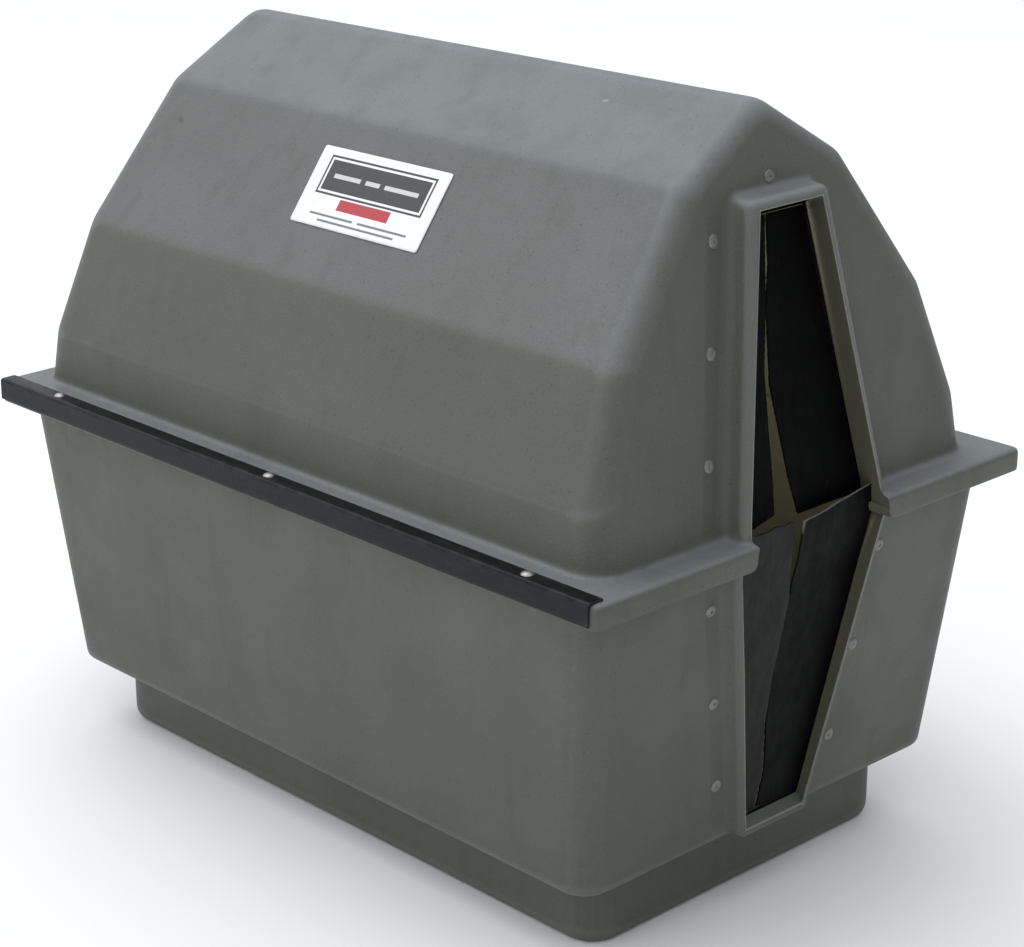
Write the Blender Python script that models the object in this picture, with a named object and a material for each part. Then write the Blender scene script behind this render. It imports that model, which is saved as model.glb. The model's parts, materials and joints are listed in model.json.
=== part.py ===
"""Lidded calf warmer: a moulded tub, a hinged moulded hood, slit rubber curtains behind a
neck opening, a slatted floor and a fan heater on the rear end.

Frame: metres, +Z up, +X towards the neck opening, -Y the lifting side with the stiffener
angle, +Y the hinge side. The origin is the middle of the underside of the plinth."""

import math

import bmesh
import bpy
from mathutils import Matrix, Vector

# ---------------------------------------------------------------- driving dimensions
GAP = 0.0003                 # clearance between neighbouring pieces
WALL = 0.0055                # moulded shell thickness
# tub
PLINTH_X, PLINTH_Y = 0.458, 0.265
LEDGE_Z = 0.095
TUB_X0, TUB_Y0 = 0.4923, 0.3136      # half sizes at the ledge
TUB_X1, TUB_Y1 = 0.5316, 0.3443      # half sizes at SKIRT_Z
TUB_R = 0.036                        # plan corner radius
RIM_LIP = 0.0050                     # outward bead at the rim
FLOOR_T = 0.008
# hood
SKIRT_Z, FLANGE_Z = 0.465, 0.494
RIM_Z = FLANGE_Z - WALL - GAP        # top of the tub
FLANGE_X, FLANGE_Y, FLANGE_REAR = 0.5625, 0.372, 0.552
FLANGE_R = 0.010
SKIRT_T = 0.005
HOOD_X = 0.5215                      # half length of the dome at the flange
HOOD_LEAN = 0.152                    # how much the end walls lean in, per metre of height
HALF_PROFILE = [(0.3255, FLANGE_Z), (0.3204, 0.561), (0.2667, 0.7075), (0.136, 0.883)]
RIDGE_Z = 0.9653
EDGE_R = (0.042, 0.036, 0.029, 0.023)    # rounding into the end wall, facet by facet
KNEE_R = 0.034
# raised frame round the neck opening: half width and front plane at a reference height,
# and their change per metre of height
SPLIT_UP, SPLIT_LO = 0.480, 0.440
UP_W, UP_W_SLOPE, UP_X, UP_X_SLOPE, UP_TOP = 0.1265, -0.1618, 0.5532, -0.1531, 0.8604
LO_W, LO_W_SLOPE, LO_X, LO_X_SLOPE, LO_BOT = 0.1260, 0.1932, 0.5454, 0.1239, 0.0893
UP_IN, UP_IN_SLOPE, OPEN_TOP = 0.1170, -0.1727, 0.8504
LO_IN, LO_IN_SLOPE, OPEN_BOT = 0.1181, 0.1971, 0.1006
FLARE_UP, FLARE_LO = 0.15, 0.22      # the opening widens inwards, per metre of depth
SILL = 0.0085                        # rise of the opening's sill from its lip to the curtain
# rubber curtains
RUBBER = 0.003
RIVET_OFF = 0.0300                   # rivet line outside the raised frame
FAR_RIVET_OFF = 0.0160               # the same on the hood's far side, close to the frame
MARGIN_OFF = 0.0380                  # edge of the clamped sheet
FOLD_IN = 0.003                      # fold line inside the opening's edge
# hinges
HINGE_Y, HINGE_Z = 0.387, 0.4515
HINGE_XS = (-0.330, 0.330)
# stiffener angle
ANGLE_T = 0.003
ANGLE_X0, ANGLE_X1 = -0.545, 0.553
ANGLE_LOW = 0.469
BOLT_XS = (-0.425, 0.010, 0.450)
BOLT_Y = -0.3620
# label plate on the near facet
LABEL_X, LABEL_Z, LABEL_SIZE = 0.0085, 0.807, (0.230, 0.104)
# heater
HEAT_X = -0.545                      # upright mounting plane behind the rear wall
HEAT_D = 0.093
HEAT_Y, HEAT_Z0, HEAT_Z1 = 0.105, 0.195, 0.355
FAN_Y, FAN_Z, FAN_R = 0.028, 0.275, 0.046

MATS = {}


def material(name, colour, rough, metal=0.0):
    mat = bpy.data.materials.new(name)
    mat.use_nodes = True
    bsdf = mat.node_tree.nodes["Principled BSDF"]
    bsdf.inputs["Base Color"].default_value = (*colour, 1.0)
    bsdf.inputs["Roughness"].default_value = rough
    bsdf.inputs["Metallic"].default_value = metal
    mat.diffuse_color = (*colour, 1.0)
    MATS[name] = mat


def link(name, bm, mat=None):
    bmesh.ops.remove_doubles(bm, verts=bm.verts, dist=1e-6)
    bmesh.ops.recalc_face_normals(bm, faces=bm.faces)
    mesh = bpy.data.meshes.new(name)
    bm.to_mesh(mesh)
    bm.free()
    obj = bpy.data.objects.new(name, mesh)
    bpy.context.scene.collection.objects.link(obj)
    if mat:
        mesh.materials.append(MATS[mat])
    return obj


def loft(name, loops, mat=None):
    """Closed solid through closed loops of equal point counts, capped at both ends."""
    bm = bmesh.new()
    rows = [[bm.verts.new(p) for p in loop] for loop in loops]
    count = len(rows[0])
    for low, high in zip(rows, rows[1:]):
        for i in range(count):
            j = (i + 1) % count
            bm.faces.new((low[i], low[j], high[j], high[i]))
    bm.faces.new(rows[0])
    bm.faces.new(rows[-1])
    return link(name, bm, mat)


def prism(name, outline, step, mat=None):
    """Outline of 3-D points extruded along step."""
    step = Vector(step)
    return loft(name, [outline, [Vector(p) + step for p in outline]], mat)


def box(name, low, high, mat=None):
    (x0, y0, z0), (x1, y1, z1) = low, high
    base = [(x0, y0, z0), (x1, y0, z0), (x1, y1, z0), (x0, y1, z0)]
    return prism(name, base, (0, 0, z1 - z0), mat)


def aim(direction):
    """Rotation that takes +Z to the direction."""
    return Vector((0, 0, 1)).rotation_difference(Vector(direction)).to_matrix().to_4x4()


def lathe(name, profile, origin, direction, segments=16, mat=None):
    """Profile of (radius, height) turned about the direction through the origin; a profile
    that starts and ends on the axis is solid, any other is a ring."""
    place = Matrix.Translation(Vector(origin)) @ aim(direction)
    bm = bmesh.new()
    rows = []
    for radius, height in profile:
        if radius == 0:
            rows.append([bm.verts.new(place @ Vector((0, 0, height)))])
            continue
        rows.append([bm.verts.new(place @ Vector((radius * math.cos(a), radius * math.sin(a), height)))
                     for a in (math.tau * i / segments for i in range(segments))])
    if profile[0][0] > 0:
        rows.append(rows[0])
    for low, high in zip(rows, rows[1:]):
        for i in range(segments):
            j = (i + 1) % segments
            quad = [low[i % len(low)], low[j % len(low)], high[j % len(high)], high[i % len(high)]]
            unique = list(dict.fromkeys(quad))
            if len(unique) > 2:
                bm.faces.new(unique)
    return link(name, bm, mat)


def cylinder(name, radius, start, end, segments=16, mat=None):
    start, end = Vector(start), Vector(end)
    length = (end - start).length
    return lathe(name, [(0, 0), (radius, 0), (radius, length), (0, length)], start, end - start,
                 segments, mat)


def combine(target, others, operation):
    """Boolean of the target with each other solid, baked into the target's mesh."""
    for other in others:
        mod = target.modifiers.new("bool", "BOOLEAN")
        mod.operation = operation
        mod.solver = "EXACT"
        mod.object = other
        bpy.context.view_layer.update()
        graph = bpy.context.evaluated_depsgraph_get()
        mesh = bpy.data.meshes.new_from_object(target.evaluated_get(graph))
        target.modifiers.clear()
        old = target.data
        target.data = mesh
        bpy.data.meshes.remove(old)
        bpy.data.objects.remove(other)
    return target


def rounded_rect(hx, hy, radius, z, steps=6, rear=None):
    """Loop of a rounded rectangle; rear is its reach towards -X if that differs."""
    points = []
    for sx, sy, start in ((1, 1, 0), (-1, 1, 90), (-1, -1, 180), (1, -1, 270)):
        reach = rear if rear and sx < 0 else hx
        for i in range(steps + 1):
            a = math.radians(start + 90 * i / steps)
            points.append((sx * (reach - radius) + radius * math.cos(a),
                           sy * (hy - radius) + radius * math.sin(a), z))
    return points


# ---------------------------------------------------------------- shared planes
def tub_x(z):
    return TUB_X0 + (TUB_X1 - TUB_X0) * (z - LEDGE_Z) / (SKIRT_Z - LEDGE_Z)


def tub_y(z):
    return TUB_Y0 + (TUB_Y1 - TUB_Y0) * (z - LEDGE_Z) / (SKIRT_Z - LEDGE_Z)


def hood_x(z):
    return HOOD_X - HOOD_LEAN * (z - FLANGE_Z)


def up_w(z):
    return UP_W + UP_W_SLOPE * (max(z, SPLIT_UP) - SPLIT_UP)


def up_front(z):
    return UP_X + UP_X_SLOPE * (max(z, SPLIT_UP) - SPLIT_UP)


def up_in(z, x):
    """Half width of the hood's opening at a height and a depth."""
    z = max(z, SPLIT_UP)
    return UP_IN + UP_IN_SLOPE * (z - SPLIT_UP) + FLARE_UP * (up_front(z) - x)


def lo_w(z):
    return LO_W + LO_W_SLOPE * (min(z, SKIRT_Z) - SPLIT_LO)


def lo_front(z):
    return LO_X + LO_X_SLOPE * (min(z, SKIRT_Z) - SPLIT_LO)


def lo_in(z, x):
    """Half width of the tub's opening at a height and a depth."""
    z = min(z, SKIRT_Z)
    return LO_IN + LO_IN_SLOPE * (z - SPLIT_LO) + FLARE_LO * (lo_front(z) - x)


HOOD_N = Vector((1, 0, HOOD_LEAN)).normalized()
TUB_LEAN = (TUB_X1 - TUB_X0) / (SKIRT_Z - LEDGE_Z)
TUB_N = Vector((1, 0, -TUB_LEAN)).normalized()


# ---------------------------------------------------------------- hood
def edge_r(z):
    """Rounding radius into the end wall at a height, blended from facet to facet."""
    mids = [0.5 * (a[1] + b[1]) for a, b in zip(HALF_PROFILE, HALF_PROFILE[1:] + [(0, RIDGE_Z)])]
    if z <= mids[0]:
        return EDGE_R[0]
    for (z0, r0), (z1, r1) in zip(zip(mids, EDGE_R), zip(mids[1:], EDGE_R[1:])):
        if z <= z1:
            return r0 + (r1 - r0) * (z - z0) / (z1 - z0)
    return EDGE_R[-1]


def offset_profile(insets):
    """Sharp half profile with each facet moved inwards, from the base up to the ridge."""
    nodes = HALF_PROFILE + [(0.0, RIDGE_Z)]
    lines = []
    for (y0, z0), (y1, z1), inset in zip(nodes, nodes[1:], insets):
        dy, dz = y1 - y0, z1 - z0
        size = math.hypot(dy, dz)
        ny, nz = -dz / size, dy / size
        lines.append((y0 + ny * inset, z0 + nz * inset, dy, dz))
    out = []
    y, z, dy, dz = lines[0]
    out.append((y + dy * (FLANGE_Z - z) / dz, FLANGE_Z))
    for (ay, az, ady, adz), (by, bz, bdy, bdz) in zip(lines, lines[1:]):
        t = ((by - ay) * bdz - (bz - az) * bdy) / (ady * bdz - adz * bdy)
        out.append((ay + ady * t, az + adz * t))
    y, z, dy, dz = lines[-1]
    out.append((0.0, z - dz * y / dy))
    return out


def fillet(before, corner, after, radius, steps):
    """Arc points that round one corner of a polyline."""
    a, c, b = Vector(before), Vector(corner), Vector(after)
    u, v = (a - c).normalized(), (b - c).normalized()
    half = u.angle(v) / 2
    reach = radius / math.tan(half)
    centre = c + (u + v).normalized() * (radius / math.sin(half))
    start, end = c + u * reach, c + v * reach
    points = []
    for i in range(steps + 1):
        blend = start.lerp(end, i / steps)
        points.append(centre + (blend - centre).normalized() * radius)
    return points


def dome(name, inset, base_z, steps=4, ring_steps=8):
    """Dome solid: the facet profile run along X, rounded over into the leaning ends."""
    loops = []
    for side in (-1, 1):
        for i in range(ring_steps + 1):
            turn = math.radians(90 * (1 - i / ring_steps if side < 0 else i / ring_steps))
            half = offset_profile([inset + (r - inset) * (1 - math.cos(turn)) for r in EDGE_R])
            ridge = half[-1]
            chain = [(-y, z) for y, z in half[:-1]] + [ridge] + list(reversed(half[:-1]))
            points = [Vector((chain[0][0], base_z))]
            for k in range(1, len(chain) - 1):
                knee = KNEE_R if chain[k][1] > 0.6 else 0.024
                points += fillet(chain[k - 1], chain[k], chain[k + 1], knee - inset * 0.8, steps)
            points.append(Vector((chain[-1][0], base_z)))
            back_off = 1 - math.sin(turn)
            loops.append([Vector((side * (hood_x(z) - inset - (edge_r(z) - inset) * back_off), y, z))
                          for y, z in points])
    return loft(name, loops)


def upper_frame():
    """Raised frame of the hood, drafted out from the end wall to its leaning front."""
    back, front = [], []
    for sign, order in ((-1, (0, 1)), (1, (1, 0))):
        for k in order:
            z = (FLANGE_Z - WALL, UP_TOP)[k]
            w = up_w(z)
            back.append(Vector((hood_x(z) - 0.003, sign * (w + 0.003), z + 0.004 * k)))
            front.append(Vector((up_front(z), sign * w, z)))
    return loft("frame", [back, front])


def flared(name, levels, half, xs, sill=None):
    """Cutter for an opening: at each x its outline follows the half width of that depth."""
    loops = []
    for x in xs:
        rows = [(half(z, x), z) for z in levels]
        if sill:
            rows[-1] = (half(sill(x), x), sill(x))
        loops.append([Vector((x, -w, z)) for w, z in rows] +
                     [Vector((x, w, z)) for w, z in reversed(rows)])
    return loft(name, loops)


def build_hood():
    hood = dome("upper_hood", 0.0, FLANGE_Z - 0.003)
    x, y, back, r = FLANGE_X, FLANGE_Y, FLANGE_REAR, FLANGE_R
    slab = loft("slab", [rounded_rect(x - cut, y - cut, r - cut, z, 6, back - cut) for cut, z in
                         ((0, SKIRT_Z), (0, FLANGE_Z - 0.0055), (0.0018, FLANGE_Z - 0.0015),
                          (0.0055, FLANGE_Z))])
    combine(hood, [slab, upper_frame()], "UNION")
    t = SKIRT_T
    pocket = loft("pocket", [rounded_rect(x - t, y - t, r - t, z, 6, back - t)
                             for z in (0.42, FLANGE_Z - WALL)])
    cavity = combine(dome("cavity", WALL, FLANGE_Z - 0.010), [pocket], "UNION")
    opening = flared("opening", (SPLIT_UP, OPEN_TOP), up_in, (0.40, 0.62))
    w = up_in(SPLIT_UP, FLANGE_X)
    corner = [(w + 0.010, 0.42), (w + 0.010, SKIRT_Z), (w + 0.003, SKIRT_Z + 0.003),
              (w, SKIRT_Z + 0.010), (w, SPLIT_UP + 0.001)]
    notch = prism("notch", [(0.40, -y, z) for y, z in corner] + [(0.40, y, z) for y, z in reversed(corner)],
                  (0.25, 0, 0))
    combine(hood, [cavity, opening, notch], "DIFFERENCE")
    return hood


# ---------------------------------------------------------------- tub
def build_tub():
    px, py = PLINTH_X, PLINTH_Y
    tx, ty = tub_x(RIM_Z), tub_y(RIM_Z)
    lip = RIM_LIP
    w = WALL
    loops = [
        rounded_rect(px - 0.014, py - 0.014, 0.030, 0.0),
        rounded_rect(px - 0.007, py - 0.007, 0.037, 0.0020),
        rounded_rect(px - 0.002, py - 0.002, 0.042, 0.0075),
        rounded_rect(px, py, 0.044, 0.0150),
        rounded_rect(px, py, 0.044, LEDGE_Z - 0.005),
        rounded_rect(px + 0.003, py + 0.003, 0.047, LEDGE_Z),
        rounded_rect(TUB_X0 - 0.005, TUB_Y0 - 0.005, TUB_R - 0.005, LEDGE_Z),
        rounded_rect(tub_x(LEDGE_Z + 0.005), tub_y(LEDGE_Z + 0.005), TUB_R, LEDGE_Z + 0.005),
        rounded_rect(tub_x(RIM_Z - 0.010), tub_y(RIM_Z - 0.010), TUB_R, RIM_Z - 0.010),
        rounded_rect(tx + lip, ty + lip, TUB_R, RIM_Z - 0.0075),
        rounded_rect(tx + lip, ty + lip, TUB_R, RIM_Z),
        rounded_rect(tx - w, ty - w, TUB_R - w, RIM_Z),
        rounded_rect(tub_x(LEDGE_Z + w) - w, tub_y(LEDGE_Z + w) - w, TUB_R - w, LEDGE_Z + w),
        rounded_rect(px - 0.0025, py - 0.0025, 0.0415, LEDGE_Z + w),
        rounded_rect(px - w, py - w, 0.0385, LEDGE_Z),
        rounded_rect(px - w, py - w, 0.0385, 0.015),
        rounded_rect(px - 0.015, py - 0.015, 0.030, w),
    ]
    tub = loft("lower_tub", loops)
    # raised frame round the lower half of the opening
    back, front = [], []
    for sign, order in ((-1, (0, 1, 2)), (1, (2, 1, 0))):
        for k in order:
            z = (RIM_Z, SKIRT_Z, LO_BOT)[k]
            wide = lo_w(z)
            lift = LEDGE_Z + 0.0025 - LO_BOT if k == 2 else 0.0
            back.append(Vector((tub_x(z + lift) - 0.003, sign * (wide + 0.008), z + lift)))
            front.append(Vector((lo_front(z), sign * wide, z)))
    frame = loft("frame", [back, front])
    # small bumps under the angle's outer bolts
    bumps = []
    for x in (BOLT_XS[0], BOLT_XS[2]):
        z0, z1, out = 0.432, 0.466, 0.004
        rear = [(x - 0.016, -tub_y(z0) + 0.002, z0), (x + 0.016, -tub_y(z0) + 0.002, z0),
                (x + 0.016, -tub_y(z1) + 0.002, z1), (x - 0.016, -tub_y(z1) + 0.002, z1)]
        face = [(x - 0.011, -tub_y(z0) - 0.001, z0 + 0.004), (x + 0.011, -tub_y(z0) - 0.001, z0 + 0.004),
                (x + 0.012, -tub_y(z1) - out, z1 - 0.002), (x - 0.012, -tub_y(z1) - out, z1 - 0.002)]
        bumps.append(loft("bump", [rear, face]))
    combine(tub, [frame] + bumps, "UNION")
    edge = lo_front(OPEN_BOT)
    opening = flared("opening", (0.52, SKIRT_Z, OPEN_BOT), lo_in, (0.40, 0.62),
                     lambda x: OPEN_BOT + SILL * (edge - x) / 0.016)
    duct = box("duct", (-0.60, -0.080, HEAT_Z0 + 0.020), (-0.45, 0.080, HEAT_Z1 - 0.020))
    combine(tub, [opening, duct], "DIFFERENCE")
    return tub


# ---------------------------------------------------------------- rivets
def rivet(name, point, normal, grip, head=0.008, shank=0.0024, mat="rivet_alloy"):
    """Blind rivet: broad flange, sunk mandrel mouth, shank and set tail."""
    tail = grip + 2 * GAP
    profile = [(0, 0.0006), (head * 0.30, 0.0006), (head * 0.34, 0.0021), (head * 0.75, 0.0016),
               (head, 0.0004), (head, GAP), (shank, GAP), (shank, -tail),
               (shank * 1.75, -tail), (shank * 1.85, -tail - 0.0025), (shank, -tail - 0.0050),
               (0, -tail - 0.0055)]
    lathe(name, profile, point, normal, 12, mat)


def hole(point, normal, radius, deep, out=0.004):
    point, normal = Vector(point), Vector(normal)
    return cylinder("hole", radius, point + normal * out, point - normal * deep, 12)


def curtain_rivets():
    """Name, point on the outer wall face and wall normal of every curtain rivet."""
    places = [("rivet_top", (hood_x(0.8745), -0.002, 0.8745), HOOD_N)]
    for side, sign in (("near", -1), ("far", 1)):
        off = RIVET_OFF if side == "near" else FAR_RIVET_OFF
        for i, z in enumerate((0.820, 0.700, 0.579)):
            places.append((f"rivet_upper_{side}_{i + 1}", (hood_x(z), sign * (up_w(z) + off), z), HOOD_N))
        off = RIVET_OFF if side == "near" else 0.0230
        for i, z in enumerate((0.418, 0.2925, 0.177)):
            places.append((f"rivet_lower_{side}_{i + 1}", (tub_x(z), sign * (lo_w(z) + off), z), TUB_N))
    return places


# ---------------------------------------------------------------- rubber curtains
def upper_back(y, z):
    """Point on the inner face of the hood's end wall at a given y and z."""
    return Vector((hood_x(z) - WALL * math.hypot(1, HOOD_LEAN), y, z)) - HOOD_N * GAP


def lower_back(y, z):
    return Vector((tub_x(z) - WALL, y, z)) - TUB_N * GAP


def sheet(name, outline, place, normal):
    return prism(name, [place(y, z) for y, z in outline], -normal * RUBBER, "rubber")


def fold_up(z):
    """Half width of the upper flaps' fold lines."""
    return UP_IN + UP_IN_SLOPE * (z - SPLIT_UP) + FLARE_UP * (up_front(z) - hood_x(z) + 0.006) - FOLD_IN


def fold_lo(z):
    """Half width of the lower flaps' fold lines."""
    front = LO_X + LO_X_SLOPE * (z - SPLIT_LO)
    return LO_IN + LO_IN_SLOPE * (z - SPLIT_LO) + FLARE_LO * (front - tub_x(z) + 0.006) - FOLD_IN


def set_origin(obj, point):
    point = Vector(point)
    obj.data.transform(Matrix.Translation(-point))
    obj.location = point


def build_curtains():
    clear, start = 0.0010, 0.0013
    # upper sheet: one inverted U, clamped all round
    top, low = 0.829, 0.487
    outer = [(up_w(0.479) + MARGIN_OFF, 0.479), (up_w(0.826) + MARGIN_OFF, 0.826),
             (0.056, 0.876), (0.014, 0.892)]
    inner = [(fold_up(0.479) + clear, 0.479), (fold_up(top) + clear, top + 0.006)]
    half = outer + [(-y, z) for y, z in reversed(outer)]
    back = [(-y, z) for y, z in inner] + [(y, z) for y, z in reversed(inner)]
    margin_up = sheet("upper_curtain_margin", half + back, upper_back, HOOD_N)
    near = [(-fold_up(low) + start, low + 0.001), (-0.067, low + 0.003), (-0.0330, low + 0.010),
            (-0.0310, 0.530), (-0.0290, 0.661), (-0.0145, 0.761), (-0.0065, top),
            (-fold_up(top) + start, top)]
    far = [(fold_up(low) - start, low + 0.002), (0.010, low), (-0.0020, 0.534), (-0.0200, 0.644),
           (-0.0155, 0.732), (-0.0060, 0.780), (-0.0040, top), (fold_up(top) - start, top)]
    mid = 0.658
    panels = [(sheet("flap_upper_near", near, upper_back, HOOD_N), -fold_up(mid), upper_back, HOOD_N, mid),
              (sheet("flap_upper_far", far, upper_back, HOOD_N), fold_up(mid), upper_back, HOOD_N, mid)]
    # lower sheet: one U whose bottom band lies behind the sill
    top, low = 0.472, 0.1120
    outer = [(lo_w(top) + MARGIN_OFF, top), (lo_w(0.140) + MARGIN_OFF, 0.140),
             (lo_w(0.140) + MARGIN_OFF - 0.012, 0.103)]
    inner = [(fold_lo(top) + clear, top), (fold_lo(low) + clear, low - 0.0030)]
    half = outer + [(-y, z) for y, z in reversed(outer)]
    back = [(-y, z) for y, z in inner] + [(y, z) for y, z in reversed(inner)]
    margin_lo = sheet("lower_curtain_margin", half + back, lower_back, TUB_N)
    near = [(-fold_lo(low) + start, low), (-0.0200, low + 0.001), (-0.0125, 0.159), (-0.0205, 0.231),
            (-0.0195, 0.299), (-0.0055, 0.388), (-0.0165, top), (-fold_lo(top) + start, top)]
    far = [(fold_lo(low) - start, low), (-0.0175, low + 0.001), (-0.0105, 0.159), (-0.0180, 0.231),
           (-0.0170, 0.299), (-0.0030, 0.388), (-0.0045, top), (fold_lo(top) - start, top)]
    mid = 0.314
    panels += [(sheet("flap_lower_near", near, lower_back, TUB_N), -fold_lo(mid), lower_back, TUB_N, mid),
               (sheet("flap_lower_far", far, lower_back, TUB_N), fold_lo(mid), lower_back, TUB_N, mid)]
    for obj, y, place, normal, z in panels:
        set_origin(obj, place(y, z) - normal * RUBBER / 2)
    return margin_up, margin_lo


# ---------------------------------------------------------------- stiffener angle
def build_angle():
    t, z = ANGLE_T, FLANGE_Z + GAP
    front = -FLANGE_Y - GAP
    outline = [(front + 0.0203, z), (front, z), (front, ANGLE_LOW), (front - t, ANGLE_LOW),
               (front - t, z + t), (front + 0.0203, z + t)]
    angle = prism("stiffener_angle", [(ANGLE_X0, y, h) for y, h in outline],
                  (ANGLE_X1 - ANGLE_X0, 0, 0), "black_steel")
    top = FLANGE_Z + GAP + t
    for i, x in enumerate(BOLT_XS):
        cap = [(0, 0.0036), (0.0032, 0.0033), (0.0060, 0.0021), (0.0076, 0.0006), (0.0076, GAP),
               (0.0025, GAP), (0.0025, -0.0180), (0, -0.0180)]
        lathe(f"angle_bolt_{i + 1}", cap, (x, BOLT_Y, top), (0, 0, 1), 12, "bright_steel")
        low = FLANGE_Z - WALL - GAP - 0.0045
        nut = cylinder(f"angle_nut_{i + 1}", 0.0048, (x, BOLT_Y, low), (x, BOLT_Y, low + 0.0045), 6,
                       "bright_steel")
        combine(nut, [cylinder("bore", 0.0029, (x, BOLT_Y, 0.51), (x, BOLT_Y, 0.47), 12)], "DIFFERENCE")
    holes = [cylinder("hole", 0.0029, (x, BOLT_Y, 0.51), (x, BOLT_Y, 0.48), 12) for x in BOLT_XS]
    combine(angle, holes, "DIFFERENCE")


# ---------------------------------------------------------------- hinges
def build_hinges():
    spots = []
    for i, x in enumerate(HINGE_XS):
        tag = f"{i + 1}"
        bottom, top, shelf = HINGE_Z - 0.080, HINGE_Z - 0.020, HINGE_Z - 0.006
        root, grip_z = HINGE_Z - 0.032, HINGE_Z - 0.052
        plate = [(x - 0.030, tub_y(z) + off, z) for off, z in
                 ((GAP, bottom), (GAP + 0.0030, bottom), (GAP + 0.0030, top), (GAP, top))]
        arm = [(x - 0.0155, y, z) for y, z in
               ((tub_y(root) + GAP, root), (tub_y(root) + GAP + 0.003, root), (HINGE_Y, shelf),
                (HINGE_Y, HINGE_Z + 0.0025), (tub_y(HINGE_Z) + GAP, HINGE_Z + 0.0025))]
        bracket = prism(f"hinge_bracket_{tag}", plate, (0.060, 0, 0), "galvanised")
        knuckle = cylinder("knuckle", 0.007, (x - 0.0155, HINGE_Y, HINGE_Z),
                           (x + 0.0155, HINGE_Y, HINGE_Z), 16)
        combine(bracket, [prism("arm", arm, (0.031, 0, 0)), knuckle], "UNION")
        face = FLANGE_Y + GAP
        leaf_low, leaf_top = HINGE_Z + 0.015, FLANGE_Z - 0.002
        leaf = box(f"hinge_leaf_{tag}", (x - 0.040, face, leaf_low),
                   (x + 0.040, face + 0.003, leaf_top), "galvanised")
        parts = []
        for a, b in ((x - 0.040, x - 0.0162), (x + 0.0162, x + 0.040)):
            lug = [(a, face, leaf_low + 0.003), (a, face, HINGE_Z + 0.009), (a, HINGE_Y - 0.004, HINGE_Z),
                   (a, HINGE_Y + 0.006, HINGE_Z), (a, face + 0.003, leaf_low + 0.003)]
            parts.append(prism("lug", lug, (b - a, 0, 0)))
            parts.append(cylinder("knuckle", 0.007, (a, HINGE_Y, HINGE_Z), (b, HINGE_Y, HINGE_Z), 16))
        combine(leaf, parts, "UNION")
        for piece in (bracket, leaf):
            bore = cylinder("bore", 0.0029, (x - 0.06, HINGE_Y, HINGE_Z), (x + 0.06, HINGE_Y, HINGE_Z), 16)
            combine(piece, [bore], "DIFFERENCE")
        pin = [(0, 0), (0.0042, 0), (0.0042, 0.0020), (0.0025, 0.0020), (0.0025, 0.0838),
               (0.0042, 0.0838), (0.0042, 0.0858), (0, 0.0858)]
        lathe(f"hinge_pin_{tag}", pin, (x - 0.0429, HINGE_Y, HINGE_Z), (1, 0, 0), 16, "bright_steel")
        side = Vector((0, 1, -(TUB_Y1 - TUB_Y0) / (SKIRT_Z - LEDGE_Z))).normalized()
        for k, dx in enumerate((-0.021, 0.021)):
            point = Vector((x + dx, tub_y(grip_z) + GAP + 0.003, grip_z))
            spots.append((f"bracket_rivet_{tag}{'ab'[k]}", point, side, 0.0093, "lower_tub", bracket))
        for k, dx in enumerate((-0.028, 0.028)):
            point = Vector((x + dx, face + 0.003, (leaf_low + leaf_top) / 2))
            spots.append((f"leaf_rivet_{tag}{'ab'[k]}", point, Vector((0, 1, 0)), 0.0083,
                          "upper_hood", leaf))
    return spots


# ---------------------------------------------------------------- floor
def build_floor():
    hx, hy, z = 0.479, 0.302, LEDGE_Z + WALL + GAP
    floor = loft("slatted_floor", [rounded_rect(hx, hy, 0.034, z, 3),
                                   rounded_rect(hx, hy, 0.034, z + FLOOR_T, 3)], "floor_plastic")
    slots = []
    for col in range(4):
        for row in range(9):
            x = -0.330 + 0.220 * col
            y = -0.240 + 0.060 * row
            slots.append(box("slot", (x - 0.085, y - 0.006, z - 0.01), (x + 0.085, y + 0.006, z + 0.02)))
    combine(floor, slots, "DIFFERENCE")


# ---------------------------------------------------------------- label
def build_label():
    (y0, z0), (y1, z1) = HALF_PROFILE[2], HALF_PROFILE[3]
    up = Vector((0, y0 - y1, z1 - z0)).normalized()
    out = Vector((0, -(z1 - z0), y0 - y1)).normalized()
    share = (LABEL_Z - z0) / (z1 - z0)
    centre = Vector((LABEL_X, -(y0 + (y1 - y0) * share), LABEL_Z)) + out * GAP
    hx, hy = LABEL_SIZE[0] / 2, LABEL_SIZE[1] / 2
    corners = [(-hx, -hy), (hx, -hy), (hx, hy), (-hx, hy)]
    outline = [centre + Vector((1, 0, 0)) * u + up * v for u, v in corners]
    prism("label_plate", outline, out * 0.0008, "label_white")


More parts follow.
